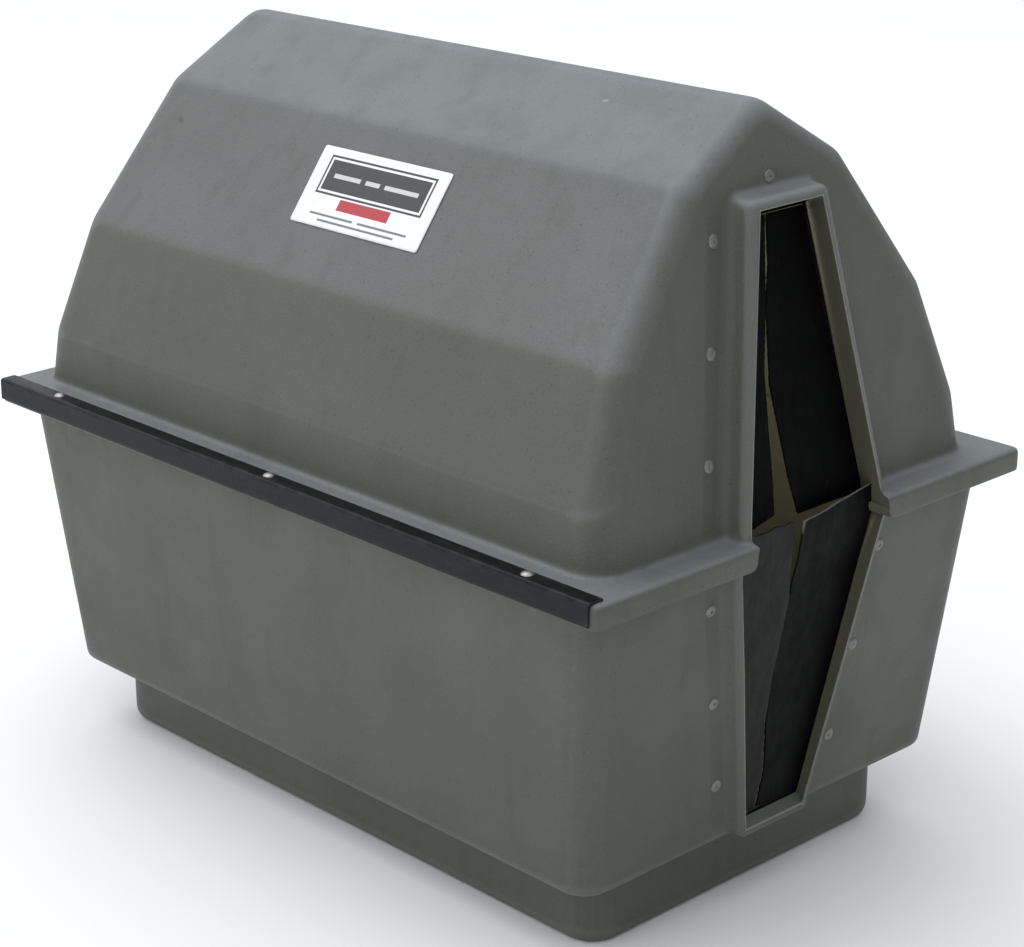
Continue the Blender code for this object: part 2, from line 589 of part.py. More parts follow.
# ---------------------------------------------------------------- heater
def build_heater():
    x0 = HEAT_X
    z0, z1, hy = HEAT_Z0, HEAT_Z1, HEAT_Y
    # wedge frame between the leaning wall and the upright heater
    wedge = [(-tub_x(z0 - 0.010) - GAP, -hy - 0.010, z0 - 0.010), (x0, -hy - 0.010, z0 - 0.010),
             (x0, -hy - 0.010, z1 + 0.010), (-tub_x(z1 + 0.010) - GAP, -hy - 0.010, z1 + 0.010)]
    frame = prism("heater_wedge_frame", wedge, (0, 2 * hy + 0.020, 0), "black_plastic")
    combine(frame, [box("duct", (-0.60, -0.080, 0.215), (-0.45, 0.080, 0.335))], "DIFFERENCE")
    # guard grille, clamped between the frame and the housing flange
    gx = x0 - GAP
    guard = box("heater_guard", (gx - 0.0015, -hy - 0.008, z0 - 0.008),
                (gx, hy + 0.008, z1 + 0.008), "zinc")
    slots = []
    for i in range(8):
        z = 0.2225 + 0.015 * i
        slots.append(box("slot", (gx - 0.01, -0.074, z - 0.004), (gx + 0.01, -0.003, z + 0.004)))
        slots.append(box("slot", (gx - 0.01, 0.003, z - 0.004), (gx + 0.01, 0.074, z + 0.004)))
    combine(guard, slots, "DIFFERENCE")
    # pressed housing: flange towards the wall, closed back with intake louvres
    hx = gx - 0.0015 - GAP
    back = hx - HEAT_D
    housing = box("heater_housing", (hx - 0.0015, -hy - 0.010, z0 - 0.010), (hx, hy + 0.010, z1 + 0.010),
                  "grey_paint")
    shell = box("shell", (back, -hy + 0.004, z0 + 0.004), (hx - 0.0007, hy - 0.004, z1 - 0.004))
    combine(housing, [shell], "UNION")
    t = 0.0015
    inner = box("inner", (back + t, -hy + 0.004 + t, z0 + 0.004 + t),
                (hx + 0.01, hy - 0.004 - t, z1 - 0.004 - t))
    cuts = [inner]
    for i in range(7):
        dz = -0.036 + 0.012 * i
        half = math.sqrt(max(FAN_R ** 2 - dz ** 2, 0))
        hub = 0.020 if abs(dz) < 0.020 else 0.0
        spans = [(-half, half)] if hub == 0 else [(-half, -hub), (hub, half)]
        for a, b in spans:
            cuts.append(box("slot", (back - 0.01, FAN_Y + a, FAN_Z + dz - 0.003),
                            (back + 0.01, FAN_Y + b, FAN_Z + dz + 0.003)))
    cuts.append(box("switch_hole", (back - 0.01, -0.084, 0.2345), (back + 0.01, -0.060, 0.2615)))
    cuts.append(cylinder("spindle", 0.0055, (back - 0.01, -0.072, 0.312), (back + 0.01, -0.072, 0.312), 12))
    cuts.append(cylinder("gland_hole", 0.0085, (back + 0.040, -0.060, z0 - 0.02),
                         (back + 0.040, -0.060, z0 + 0.02), 16))
    combine(housing, cuts, "DIFFERENCE")
    # motor on the housing back, fan on its shaft
    motor = [(0, 0), (0.0160, 0), (0.0185, 0.0020), (0.0185, 0.0260), (0.0160, 0.0290), (0.0060, 0.0290),
             (0.0055, 0.0320), (0.0020, 0.0320), (0.0020, 0.0480), (0, 0.0480)]
    face = back + t + GAP
    lathe("fan_motor", motor, (face, FAN_Y, FAN_Z), (1, 0, 0), 16, "zinc")
    fan_x = face + 0.034
    hub = [(0.0023, 0), (0.0120, 0), (0.0140, 0.0020), (0.0140, 0.0100), (0.0120, 0.0120), (0.0023, 0.0120)]
    fan = lathe("fan_blades", hub, (fan_x, FAN_Y, FAN_Z), (1, 0, 0), 15, "black_plastic")
    blades = []
    for i in range(5):
        turn = Matrix.Rotation(math.tau * i / 5, 4, "X")
        place = Matrix.Translation((fan_x + 0.006, FAN_Y, FAN_Z)) @ turn
        root = [(-0.0045, -0.006, 0.012), (-0.0033, -0.006, 0.012),
                (0.0045, 0.006, 0.012), (0.0033, 0.006, 0.012)]
        tip = [(-0.0040, -0.015, FAN_R - 0.003), (-0.0028, -0.015, FAN_R - 0.003),
               (0.0035, 0.012, FAN_R - 0.003), (0.0023, 0.012, FAN_R - 0.003)]
        blades.append(loft("blade", [[place @ Vector(p) for p in root], [place @ Vector(p) for p in tip]]))
    combine(fan, blades, "UNION")
    set_origin(fan, (fan_x, FAN_Y, FAN_Z))
    # sheathed element: one serpentine tube whose two ends sit in the carrier
    path = []
    rows = [0.300 - 0.0125 * i + 0.012 for i in range(6)]
    ex = hx - 0.018
    for i, z in enumerate(rows):
        ends = (-0.066, 0.070) if i % 2 == 0 else (0.070, -0.066)
        near, far = ends
        if i == 0:
            near = -0.0975
        if i == len(rows) - 1:
            far = -0.0975
        sign = 1 if i % 2 == 0 else -1
        path.append((near, z, None))
        path.append((far, z, sign))
    points = []
    for k, (y, z, sign) in enumerate(path):
        points.append(Vector((ex, y, z)))
        if sign is not None and k + 1 < len(path):
            step = (path[k + 1][1] - z) / 2
            for a in (45, 90, 135):
                turn = math.radians(a)
                points.append(Vector((ex, y + sign * abs(step) * math.sin(turn),
                                      z + step * (1 - math.cos(turn)))))
    tube("heating_element", points, 0.0030, 8, "element_sheath")
    # carrier bar on the side of the housing, bored for the element's ends
    cy = -hy + 0.004 + t + GAP
    bar = box("element_carrier", (ex - 0.010, cy, rows[-1] - 0.010),
              (ex + 0.010, cy + 0.012, rows[0] + 0.010), "ceramic")
    bores = [cylinder("bore", 0.0034, (ex, -0.0984, z), (ex, -0.05, z), 12) for z in (rows[0], rows[-1])]
    combine(bar, bores, "DIFFERENCE")
    # controls on the back
    knob = [(0, 0.0180), (0.0120, 0.0180), (0.0135, 0.0165), (0.0150, 0.0030), (0.0165, 0.0022),
            (0.0165, 0.0006), (0.0045, 0.0006), (0.0045, -0.0080), (0, -0.0080)]
    dial = lathe("thermostat_knob", knob, (back, -0.072, 0.312), (-1, 0, 0), 20, "black_plastic")
    ridge = box("ridge", (back - 0.0205, -0.0735, 0.302), (back - 0.0150, -0.0705, 0.3255))
    combine(dial, [ridge], "UNION")
    set_origin(dial, (back, -0.072, 0.312))
    bezel = box("switch_bezel", (back - 0.0025, -0.0870, 0.2315),
                (back - GAP, -0.0570, 0.2645), "black_plastic")
    sleeve = box("sleeve", (back - 0.0010, -0.0835, 0.2350), (back + 0.0120, -0.0605, 0.2610))
    combine(bezel, [sleeve], "UNION")
    well = box("well", (back - 0.02, -0.0815, 0.2370), (back + 0.0095, -0.0625, 0.2590))
    combine(bezel, [well], "DIFFERENCE")
    rocker_outline = [(back - 0.0060, 0.2382), (back - 0.0025, 0.2480), (back - 0.0030, 0.2578),
                      (back + 0.0010, 0.2578), (back + 0.0045, 0.2520), (back + 0.0045, 0.2440),
                      (back + 0.0010, 0.2382)]
    rocker = prism("switch_rocker", [(x, -0.0810, z) for x, z in rocker_outline],
                   (0, 0.0180, 0), "red_plastic")
    set_origin(rocker, (back + 0.0020, -0.0720, 0.2480))
    # cable gland in the underside
    gland = [(0, 0.0120), (0.0080, 0.0120), (0.0080, GAP + t), (0.0080, -GAP), (0.0125, -GAP),
             (0.0125, -0.0060), (0.0100, -0.0070), (0.0095, -0.0150), (0.0060, -0.0180), (0.0045, -0.0180),
             (0.0045, -0.0060), (0, -0.0060)]
    lathe("cable_gland", gland, (back + 0.040, -0.060, z0 + 0.004), (0, 0, 1), 16, "black_plastic")
    # screws through the flange and the guard into the wedge frame
    spots = [(sy * (hy + 0.003), z) for sy in (-1, 1) for z in (z0 - 0.003, z1 + 0.003)]
    for i, (y, z) in enumerate(spots):
        screw = [(0, 0.0024), (0.0026, 0.0022), (0.0040, 0.0006), (0.0040, GAP), (0.0018, GAP),
                 (0.0018, -0.0120), (0, -0.0130)]
        lathe(f"housing_screw_{i + 1}", screw, (hx - 0.0015, y, z), (-1, 0, 0), 12, "bright_steel")
    for piece in (housing, guard):
        combine(piece, [cylinder("hole", 0.0022, (hx - 0.01, y, z), (x0 + 0.004, y, z), 12)
                        for y, z in spots], "DIFFERENCE")
    combine(frame, [cylinder("hole", 0.0022, (x0 - 0.01, y, z), (x0 + 0.011, y, z), 12)
                    for y, z in spots], "DIFFERENCE")


def tube(name, points, radius, sides, mat):
    """Round tube of constant radius through points that lie in one plane of constant x."""
    loops = []
    for i, point in enumerate(points):
        before = points[max(i - 1, 0)]
        after = points[min(i + 1, len(points) - 1)]
        ahead = (after - before).normalized()
        across = Vector((1, 0, 0))
        other = ahead.cross(across)
        loops.append([point + (across * math.cos(a) + other * math.sin(a)) * radius
                      for a in (math.tau * k / sides for k in range(sides))])
    return loft(name, loops, mat)


# ---------------------------------------------------------------- assembly
def main():
    for obj in list(bpy.data.objects):
        bpy.data.objects.remove(obj)
    for args in (("poly_hood", (0.150, 0.160, 0.160), 0.62),
                 ("poly_tub", (0.118, 0.124, 0.110), 0.62),
                 ("rubber", (0.012, 0.012, 0.012), 0.55),
                 ("black_steel", (0.030, 0.031, 0.034), 0.42, 0.2),
                 ("bright_steel", (0.62, 0.62, 0.63), 0.28, 1.0),
                 ("rivet_alloy", (0.30, 0.30, 0.29), 0.5, 0.8),
                 ("galvanised", (0.50, 0.51, 0.52), 0.45, 0.9),
                 ("floor_plastic", (0.33, 0.33, 0.30), 0.6),
                 ("label_white", (0.78, 0.78, 0.79), 0.4),
                 ("black_plastic", (0.020, 0.020, 0.020), 0.45),
                 ("zinc", (0.52, 0.53, 0.54), 0.38, 0.9),
                 ("grey_paint", (0.20, 0.21, 0.21), 0.45, 0.2),
                 ("element_sheath", (0.16, 0.12, 0.10), 0.5, 0.8),
                 ("ceramic", (0.72, 0.70, 0.64), 0.6),
                 ("red_plastic", (0.45, 0.02, 0.02), 0.35)):
        material(*args)
    hood = build_hood()
    tub = build_tub()
    hood.data.materials.clear()
    hood.data.materials.append(MATS["poly_hood"])
    tub.data.materials.clear()
    tub.data.materials.append(MATS["poly_tub"])
    margin_up, margin_lo = build_curtains()
    build_angle()
    spots = build_hinges()
    build_floor()
    build_label()
    build_heater()
    grip = WALL + RUBBER + GAP
    for name, point, normal in curtain_rivets():
        rivet(name, point, normal, grip)
        upper = normal is HOOD_N
        wall, margin = (hood, margin_up) if upper else (tub, margin_lo)
        for piece in (wall, margin):
            combine(piece, [hole(point, normal, 0.0028, 0.014)], "DIFFERENCE")
    bodies = {"upper_hood": hood, "lower_tub": tub}
    for name, point, normal, thick, wall, plate in spots:
        rivet(name, point, normal, thick, 0.0048, 0.0020, "bright_steel")
        for piece in (bodies[wall], plate):
            combine(piece, [hole(point, normal, 0.0024, 0.014)], "DIFFERENCE")
    combine(hood, [cylinder("hole", 0.0029, (x, BOLT_Y, 0.51), (x, BOLT_Y, 0.48), 12)
                   for x in BOLT_XS], "DIFFERENCE")
    set_origin(hood, (0.0, HINGE_Y, HINGE_Z))
    for obj in bpy.data.objects:
        if obj.type == "MESH":
            obj.data.shade_smooth()
            obj.data.set_sharp_from_angle(angle=math.radians(32))


main()
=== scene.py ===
"""Looks of the lidded calf warmer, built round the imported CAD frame.

+X is the neck-opening end, -Y the lifting side with the black angle, +Y the hinge side.
All lengths are metres in the row frame."""

import json
import math

import bmesh
import bpy
import numpy as np
from mathutils import Matrix, Vector, kdtree, noise


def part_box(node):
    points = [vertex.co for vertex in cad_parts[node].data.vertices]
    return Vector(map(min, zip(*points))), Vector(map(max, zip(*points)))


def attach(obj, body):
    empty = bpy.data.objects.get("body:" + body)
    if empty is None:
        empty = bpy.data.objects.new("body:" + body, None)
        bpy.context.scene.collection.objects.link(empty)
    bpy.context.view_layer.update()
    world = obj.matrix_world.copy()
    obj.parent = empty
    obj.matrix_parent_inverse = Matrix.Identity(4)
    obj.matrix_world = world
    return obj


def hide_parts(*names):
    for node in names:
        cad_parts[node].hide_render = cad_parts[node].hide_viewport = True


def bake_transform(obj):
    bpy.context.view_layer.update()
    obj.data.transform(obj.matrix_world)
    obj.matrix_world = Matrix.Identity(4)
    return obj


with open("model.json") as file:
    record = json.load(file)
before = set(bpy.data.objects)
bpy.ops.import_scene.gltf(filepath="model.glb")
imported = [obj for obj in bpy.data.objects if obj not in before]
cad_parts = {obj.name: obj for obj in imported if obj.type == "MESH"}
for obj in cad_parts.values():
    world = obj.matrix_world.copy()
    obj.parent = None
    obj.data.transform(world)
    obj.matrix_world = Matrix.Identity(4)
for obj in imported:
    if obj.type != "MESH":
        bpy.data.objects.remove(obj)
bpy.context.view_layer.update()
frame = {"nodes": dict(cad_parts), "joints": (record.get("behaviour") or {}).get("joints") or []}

# ---------------------------------------------------------------- dimensions shared with the CAD source
LEDGE_Z, SKIRT_Z, FLANGE_Z = 0.095, 0.465, 0.494
TUB_X0, TUB_X1 = 0.4923, 0.5316
HOOD_X, HOOD_LEAN = 0.5215, 0.152
HOOD_N = Vector((1, 0, HOOD_LEAN)).normalized()
TUB_LEAN = (TUB_X1 - TUB_X0) / (SKIRT_Z - LEDGE_Z)
TUB_N = Vector((1, 0, -TUB_LEAN)).normalized()


def hood_x(z):
    return HOOD_X - HOOD_LEAN * (z - FLANGE_Z)


def tub_x(z):
    return TUB_X0 + TUB_LEAN * (z - LEDGE_Z)


# neck opening: raised frame's front plane and the opening's half width at a height and a depth
SPLIT_UP, SPLIT_LO = 0.480, 0.440
OPEN_TOP, OPEN_BOT, SILL = 0.8504, 0.1006, 0.0085
FLANGE_X, RIM_Z = 0.5625, 0.4882


def up_front(z):
    return 0.5532 - 0.1531 * (max(z, SPLIT_UP) - SPLIT_UP)


def up_in(z, x):
    return 0.1170 - 0.1727 * (max(z, SPLIT_UP) - SPLIT_UP) + 0.15 * (up_front(z) - x)


def lo_front(z):
    return 0.5454 + 0.1239 * (min(z, SKIRT_Z) - SPLIT_LO)


def lo_in(z, x):
    return 0.1181 + 0.1971 * (min(z, SKIRT_Z) - SPLIT_LO) + 0.22 * (lo_front(z) - x)


# ---------------------------------------------------------------- node materials
PALE, DUSKY = (0.42, 0.42, 0.38), (0.030, 0.033, 0.030)
PAINTED_GLOW = (0.125, 0.118, 0.078)      # painted light: olive-tan glow, as of light through the wall, on the opening's inward faces


class Shade:
    """One node material: a Principled shader and short helpers that add nodes to it."""

    def __init__(self, name, rough=0.5, metal=0.0, **sockets):
        self.mat = bpy.data.materials.new(name)
        self.mat.use_nodes = True
        self.tree = self.mat.node_tree
        self.bsdf = self.tree.nodes["Principled BSDF"]
        self.bsdf.inputs["Roughness"].default_value = rough
        self.bsdf.inputs["Metallic"].default_value = metal
        for socket, value in sockets.items():
            self.bsdf.inputs[socket.replace("_", " ")].default_value = value
        self.place = self.node("ShaderNodeTexCoord").outputs["Object"]

    def node(self, kind, **values):
        made = self.tree.nodes.new(kind)
        for key, value in values.items():
            setattr(made, key, value)
        return made

    def plug(self, socket, value):
        if isinstance(value, bpy.types.NodeSocket):
            self.tree.links.new(value, socket)
        elif isinstance(value, tuple) and len(value) == 3 and socket.type == "RGBA":
            socket.default_value = (*value, 1.0)
        else:
            socket.default_value = value

    def scaled(self, x, y, z):
        made = self.node("ShaderNodeMapping")
        self.plug(made.inputs["Vector"], self.place)
        made.inputs["Scale"].default_value = (x, y, z)
        return made.outputs["Vector"]

    def noise(self, scale, detail=3.0, rough=0.55, at=None, twist=0.0):
        made = self.node("ShaderNodeTexNoise")
        self.plug(made.inputs["Vector"], at or self.place)
        for key, value in (("Scale", scale), ("Detail", detail), ("Roughness", rough), ("Distortion", twist)):
            made.inputs[key].default_value = value
        return made.outputs["Fac"]

    def cells(self, scale):
        """Distance to the nearest point of a scattered set."""
        made = self.node("ShaderNodeTexVoronoi")
        self.plug(made.inputs["Vector"], self.place)
        made.inputs["Scale"].default_value = scale
        return made.outputs["Distance"]

    def math(self, operation, a, b=0.0, c=0.0, clamp=False):
        made = self.node("ShaderNodeMath", operation=operation, use_clamp=clamp)
        self.plug(made.inputs[0], a)
        self.plug(made.inputs[1], b)
        self.plug(made.inputs[2], c)
        return made.outputs[0]

    def band(self, value, low, high, out_low=0.0, out_high=1.0):
        """Value eased from out_low to out_high as it goes from low to high."""
        made = self.node("ShaderNodeMapRange", interpolation_type="SMOOTHSTEP")
        for key, entry in (("Value", value), ("From Min", low), ("From Max", high),
                           ("To Min", out_low), ("To Max", out_high)):
            self.plug(made.inputs[key], entry)
        return made.outputs["Result"]

    def mix(self, share, a, b, blend="MIX"):
        made = self.node("ShaderNodeMix", data_type="RGBA", blend_type=blend)
        self.plug(made.inputs["Factor"], share)
        self.plug(made.inputs["A"], a)
        self.plug(made.inputs["B"], b)
        return made.outputs["Result"]

    def xyz(self, source=None):
        made = self.node("ShaderNodeSeparateXYZ")
        self.plug(made.inputs[0], source or self.place)
        return made.outputs

    def stroke(self, start, end, width):
        """1 within a width of the line between two points, easing to 0."""
        a, step = Vector(start), Vector(end) - Vector(start)
        off = self.node("ShaderNodeVectorMath", operation="SUBTRACT")
        self.plug(off.inputs[0], self.place)
        off.inputs[1].default_value = a
        dot = self.node("ShaderNodeVectorMath", operation="DOT_PRODUCT")
        self.plug(dot.inputs[0], off.outputs[0])
        dot.inputs[1].default_value = step / max(step.length_squared, 1e-12)
        share = self.math("ADD", dot.outputs["Value"], 0.0, clamp=True)
        foot = self.node("ShaderNodeVectorMath", operation="SCALE")
        foot.inputs[0].default_value = step
        self.plug(foot.inputs["Scale"], share)
        gap = self.node("ShaderNodeVectorMath", operation="DISTANCE")
        self.plug(gap.inputs[0], off.outputs[0])
        self.plug(gap.inputs[1], foot.outputs[0])
        return self.band(gap.outputs["Value"], width, width * 0.35)

    def facing(self):
        """Normal in the object's own axes."""
        geometry = self.node("ShaderNodeNewGeometry").outputs["Normal"]
        turn = self.node("ShaderNodeVectorTransform", vector_type="NORMAL", convert_from="WORLD",
                         convert_to="OBJECT")
        self.plug(turn.inputs["Vector"], geometry)
        return self.xyz(turn.outputs["Vector"])

    def value(self, name):
        return self.node("ShaderNodeAttribute", attribute_name=name).outputs["Fac"]

    def bump(self, height, distance, strength=1.0, under=None):
        made = self.node("ShaderNodeBump")
        made.inputs["Strength"].default_value = strength
        made.inputs["Distance"].default_value = distance
        self.plug(made.inputs["Height"], height)
        if under:
            self.plug(made.inputs["Normal"], under)
        return made.outputs["Normal"]

    def done(self, colour=None, rough=None, normal=None):
        for socket, value in (("Base Color", colour), ("Roughness", rough), ("Normal", normal)):
            if value is not None:
                self.plug(self.bsdf.inputs[socket], value)
        return self.mat


def poly(name, lit_tone, shade_tone, dark, marks, column):
    """Granite-look rotomoulded polyethylene, with painted light and shade: a lighter grey tone where it faces
    the sky, a darker olive tone where it faces down.
    Marks are strokes (start, end, width, share, tone). Column is the frame's half width as
    (base, slope, height of base) and the (low, high) heights of the band of painted shade beside it, along
    the rivets."""
    s = Shade(name, 0.6, Specular_IOR_Level=0.42)
    up, high = s.facing()[2], s.xyz()[2]
    # painted light and shade: faces turned to the sky take the lit tone, faces turned down the shaded tone
    sky_lit_share = s.band(up, 0.22, 0.98)
    colour = s.mix(sky_lit_share, shade_tone, lit_tone)
    # painted shade: darker towards the floor, below 0.5 m
    colour = s.mix(s.math("MULTIPLY", s.band(high, 0.50, 0.05), 0.35), colour, dark)
    clouds = s.band(s.noise(3.2, 4.0, 0.6), 0.35, 0.68)
    colour = s.mix(s.math("MULTIPLY", clouds, 0.16), colour, dark)
    streaks = s.noise(1.0, 3.0, 0.6, s.scaled(26, 26, 2.5))
    colour = s.mix(s.math("MULTIPLY", s.band(streaks, 0.50, 0.74), 0.22), colour, dark)
    grain = s.noise(380, 3.0, 0.7)
    colour = s.mix(s.band(grain, 0.32, 0.72, 0.0, 0.16), colour, tuple(0.35 * c for c in dark))
    pale = s.noise(520, 1.0, 0.5)
    colour = s.mix(s.band(pale, 0.62, 0.80, 0.0, 0.18), colour, tuple(min(1.0, 1.8 * c) for c in lit_tone))
    specks = s.math("MULTIPLY", s.band(s.cells(150), 0.20, 0.10), s.band(s.noise(60, 1.0), 0.50, 0.62))
    colour = s.mix(s.math("MULTIPLY", specks, 0.50), colour, tuple(0.3 * c for c in dark))
    # edge wear and painted highlight: convex edges and ridges lightened towards the lit tone
    edge_wear_and_highlight = s.value("edge_wear_and_highlight")
    colour = s.mix(s.band(edge_wear_and_highlight, 0.35, 1.0, 0.0, 0.22), colour, tuple(min(1.0, 1.4 * c) for c in lit_tone))
    base, slope, split, low, top = column
    place = s.xyz()
    # painted light: faces turned in towards the middle at the open end take the olive-tan glow
    inward = s.math("MULTIPLY", s.facing()[1], s.math("SIGN", place[1]))
    reveal = s.math("MULTIPLY", s.band(inward, -0.6, -0.9), s.band(place[0], 0.47, 0.49))
    colour = s.mix(s.math("MULTIPLY", reveal, 0.7), colour, PAINTED_GLOW)
    # painted shade: a darker band on the end wall beside the frame, on the -Y side, along the rivets
    side = s.math("SUBTRACT", s.math("MULTIPLY", place[1], -1.0),
                  s.math("MULTIPLY_ADD", place[2], slope, base - slope * split))
    rivet_shade_band = s.math("MULTIPLY", s.band(side, 0.016, 0.019), s.band(side, 0.041, 0.037))
    for value, start, end in ((place[0], 0.40, 0.42), (place[2], low, low + 0.01),
                              (place[2], top, top - 0.02)):
        rivet_shade_band = s.math("MULTIPLY", rivet_shade_band, s.band(value, start, end))
    colour = s.mix(s.math("MULTIPLY", rivet_shade_band, 0.22), colour, tuple(0.55 * c for c in dark))
    for start, end, width, share, tone in marks:
        colour = s.mix(s.math("MULTIPLY", s.stroke(start, end, width), share), colour, tone)
    rough = s.band(s.noise(9, 4.0, 0.6), 0.3, 0.7, 0.46, 0.62)
    peel = s.bump(s.noise(260, 4.0, 0.65), 0.0009, 0.45)
    waves = s.bump(s.noise(6.5, 2.0, 0.5), 0.006, 0.35, peel)
    return s.done(colour, rough, waves)


def rubber(name, tone, sheen, gloss, rim=0.0):
    """Black sheet rubber with dusty scuffs, its free top edge paler by rim, from edge wear and a painted
    highlight.
    """
    s = Shade(name, 0.5, Specular_IOR_Level=gloss)
    colour = s.mix(s.band(s.noise(12, 4.0, 0.65), 0.35, 0.7), tuple(0.6 * c for c in tone), tone)
    dust = s.noise(30, 5.0, 0.75, s.scaled(1, 2.2, 0.8))
    colour = s.mix(s.band(dust, 0.58, 0.80, 0.0, 0.30), colour, (0.045, 0.047, 0.045))
    lines = s.noise(1.0, 2.0, 0.5, s.scaled(50, 900, 60), 2.5)
    marks = s.math("MULTIPLY", s.band(lines, 0.66, 0.74), s.band(s.noise(16, 2.0), 0.52, 0.66))
    colour = s.mix(s.math("MULTIPLY", marks, 0.30), colour, (0.10, 0.10, 0.095))
    # edge wear and painted highlight: the free top edge lightened where it is convex
    edge = s.value("edge_wear_and_highlight")
    if rim:
        high = s.math("MULTIPLY", s.band(s.xyz()[2], 0.468, 0.480), rim)
        colour = s.mix(s.math("MULTIPLY", s.band(edge, 0.3, 0.9), high), colour, (0.20, 0.205, 0.20))
    rough = s.band(dust, 0.35, 0.75, sheen, sheen + 0.22)
    normal = s.bump(s.noise(420, 3.0, 0.6), 0.0004, 0.35)
    return s.done(colour, rough, s.bump(s.noise(14, 3.0, 0.5), 0.004, 0.35, normal))


def black_paint(name):
    """Mill-finish black steel: satin, scuffed pale along edges and in patches, the pale edges partly a
    painted highlight; painted shade makes faces turned up darker than the upright front.
    """
    s = Shade(name, 0.4, 0.0, Specular_IOR_Level=0.15)
    # painted shade: faces turned up darker than the upright front
    up = s.facing()[2]
    base = s.mix(s.band(up, 0.3, 0.9), (0.0100, 0.0102, 0.0108), (0.0030, 0.0032, 0.0036))
    cloud = s.noise(22, 5.0, 0.7, s.scaled(0.6, 3, 3))
    colour = s.mix(s.band(cloud, 0.46, 0.72, 0.0, 0.30), base, (0.030, 0.031, 0.033))
    lines = s.noise(1.0, 2.0, 0.6, s.scaled(45, 700, 700), 1.5)
    marks = s.math("MULTIPLY", s.band(lines, 0.63, 0.72), s.band(s.noise(11, 3.0), 0.50, 0.64))
    colour = s.mix(s.math("MULTIPLY", marks, 0.30), colour, (0.13, 0.135, 0.14))
    # edge wear and painted highlight: edges lightened in patches
    edge = s.math("MULTIPLY", s.value("edge_wear_and_highlight"), s.band(s.noise(55, 3.0), 0.35, 0.62))
    colour = s.mix(s.band(edge, 0.25, 0.9, 0.0, 0.10), colour, (0.09, 0.093, 0.10))
    rough = s.band(cloud, 0.3, 0.75, 0.22, 0.45)
    return s.done(colour, rough, s.bump(s.noise(160, 4.0, 0.6), 0.0006, 0.4))


def metal(name, tone, low, high, grain=(1, 1, 1), scale=90, dirt=0.35, shine=1.0):
    s = Shade(name, 0.4, shine)
    spots = s.noise(scale, 4.0, 0.65, s.scaled(*grain))
    colour = s.mix(s.band(spots, 0.35, 0.72, 0.0, dirt), tone, tuple(0.42 * c for c in tone))
    fine = s.noise(scale * 6, 3.0, 0.7, s.scaled(*grain))
    rough = s.band(fine, 0.3, 0.7, low, high)
    return s.done(colour, rough, s.bump(fine, 0.0003, 0.4))


def galvanised(name, tone):
    """Zinc-dipped sheet with its crystal spangle."""
    s = Shade(name, 0.45, 0.85)
    made = s.node("ShaderNodeTexVoronoi")
    s.plug(made.inputs["Vector"], s.place)
    made.inputs["Scale"].default_value = 120
    grey = s.node("ShaderNodeRGBToBW")
    s.plug(grey.inputs[0], made.outputs["Color"])
    colour = s.mix(s.band(grey.outputs[0], 0.2, 0.8, 0.0, 0.5), tone, tuple(0.62 * c for c in tone))
    stain = s.noise(35, 4.0, 0.7)
    colour = s.mix(s.band(stain, 0.55, 0.8, 0.0, 0.4), colour, (0.24, 0.23, 0.21))
    rough = s.band(grey.outputs[0], 0.0, 1.0, 0.32, 0.5)
    return s.done(colour, rough, s.bump(s.noise(300, 2.0), 0.0003, 0.3))


def plastic(name, tone, rough=0.5, grain=420, depth=0.0003, dust=(0.2, 0.2, 0.19), share=0.12):
    s = Shade(name, rough)
    colour = s.mix(s.band(s.noise(25, 4.0, 0.7), 0.45, 0.75, 0.0, share), tone, dust)
    fine = s.band(s.noise(grain * 0.7, 2.0), 0.4, 0.7, 0.0, 0.15)
    colour = s.mix(fine, colour, tuple(0.6 * c for c in tone))
    vary = s.band(s.noise(30, 3.0), 0.3, 0.7, rough - 0.07, rough + 0.1)
    return s.done(colour, vary, s.bump(s.noise(grain, 2.0, 0.6), depth, 0.5))


def painted(name, tone):
    """Powder coat: fine orange peel, pale chips."""
    s = Shade(name, 0.42)
    colour = s.mix(s.band(s.noise(8, 4.0, 0.6), 0.35, 0.7, 0.0, 0.3), tone, tuple(0.7 * c for c in tone))
    chips = s.math("MULTIPLY", s.band(s.cells(45), 0.16, 0.10), s.band(s.noise(9), 0.58, 0.64))
    colour = s.mix(chips, colour, (0.42, 0.43, 0.44))
    rough = s.band(s.noise(40, 3.0), 0.3, 0.7, 0.34, 0.5)
    return s.done(colour, rough, s.bump(s.noise(700, 2.0), 0.0003, 0.5))


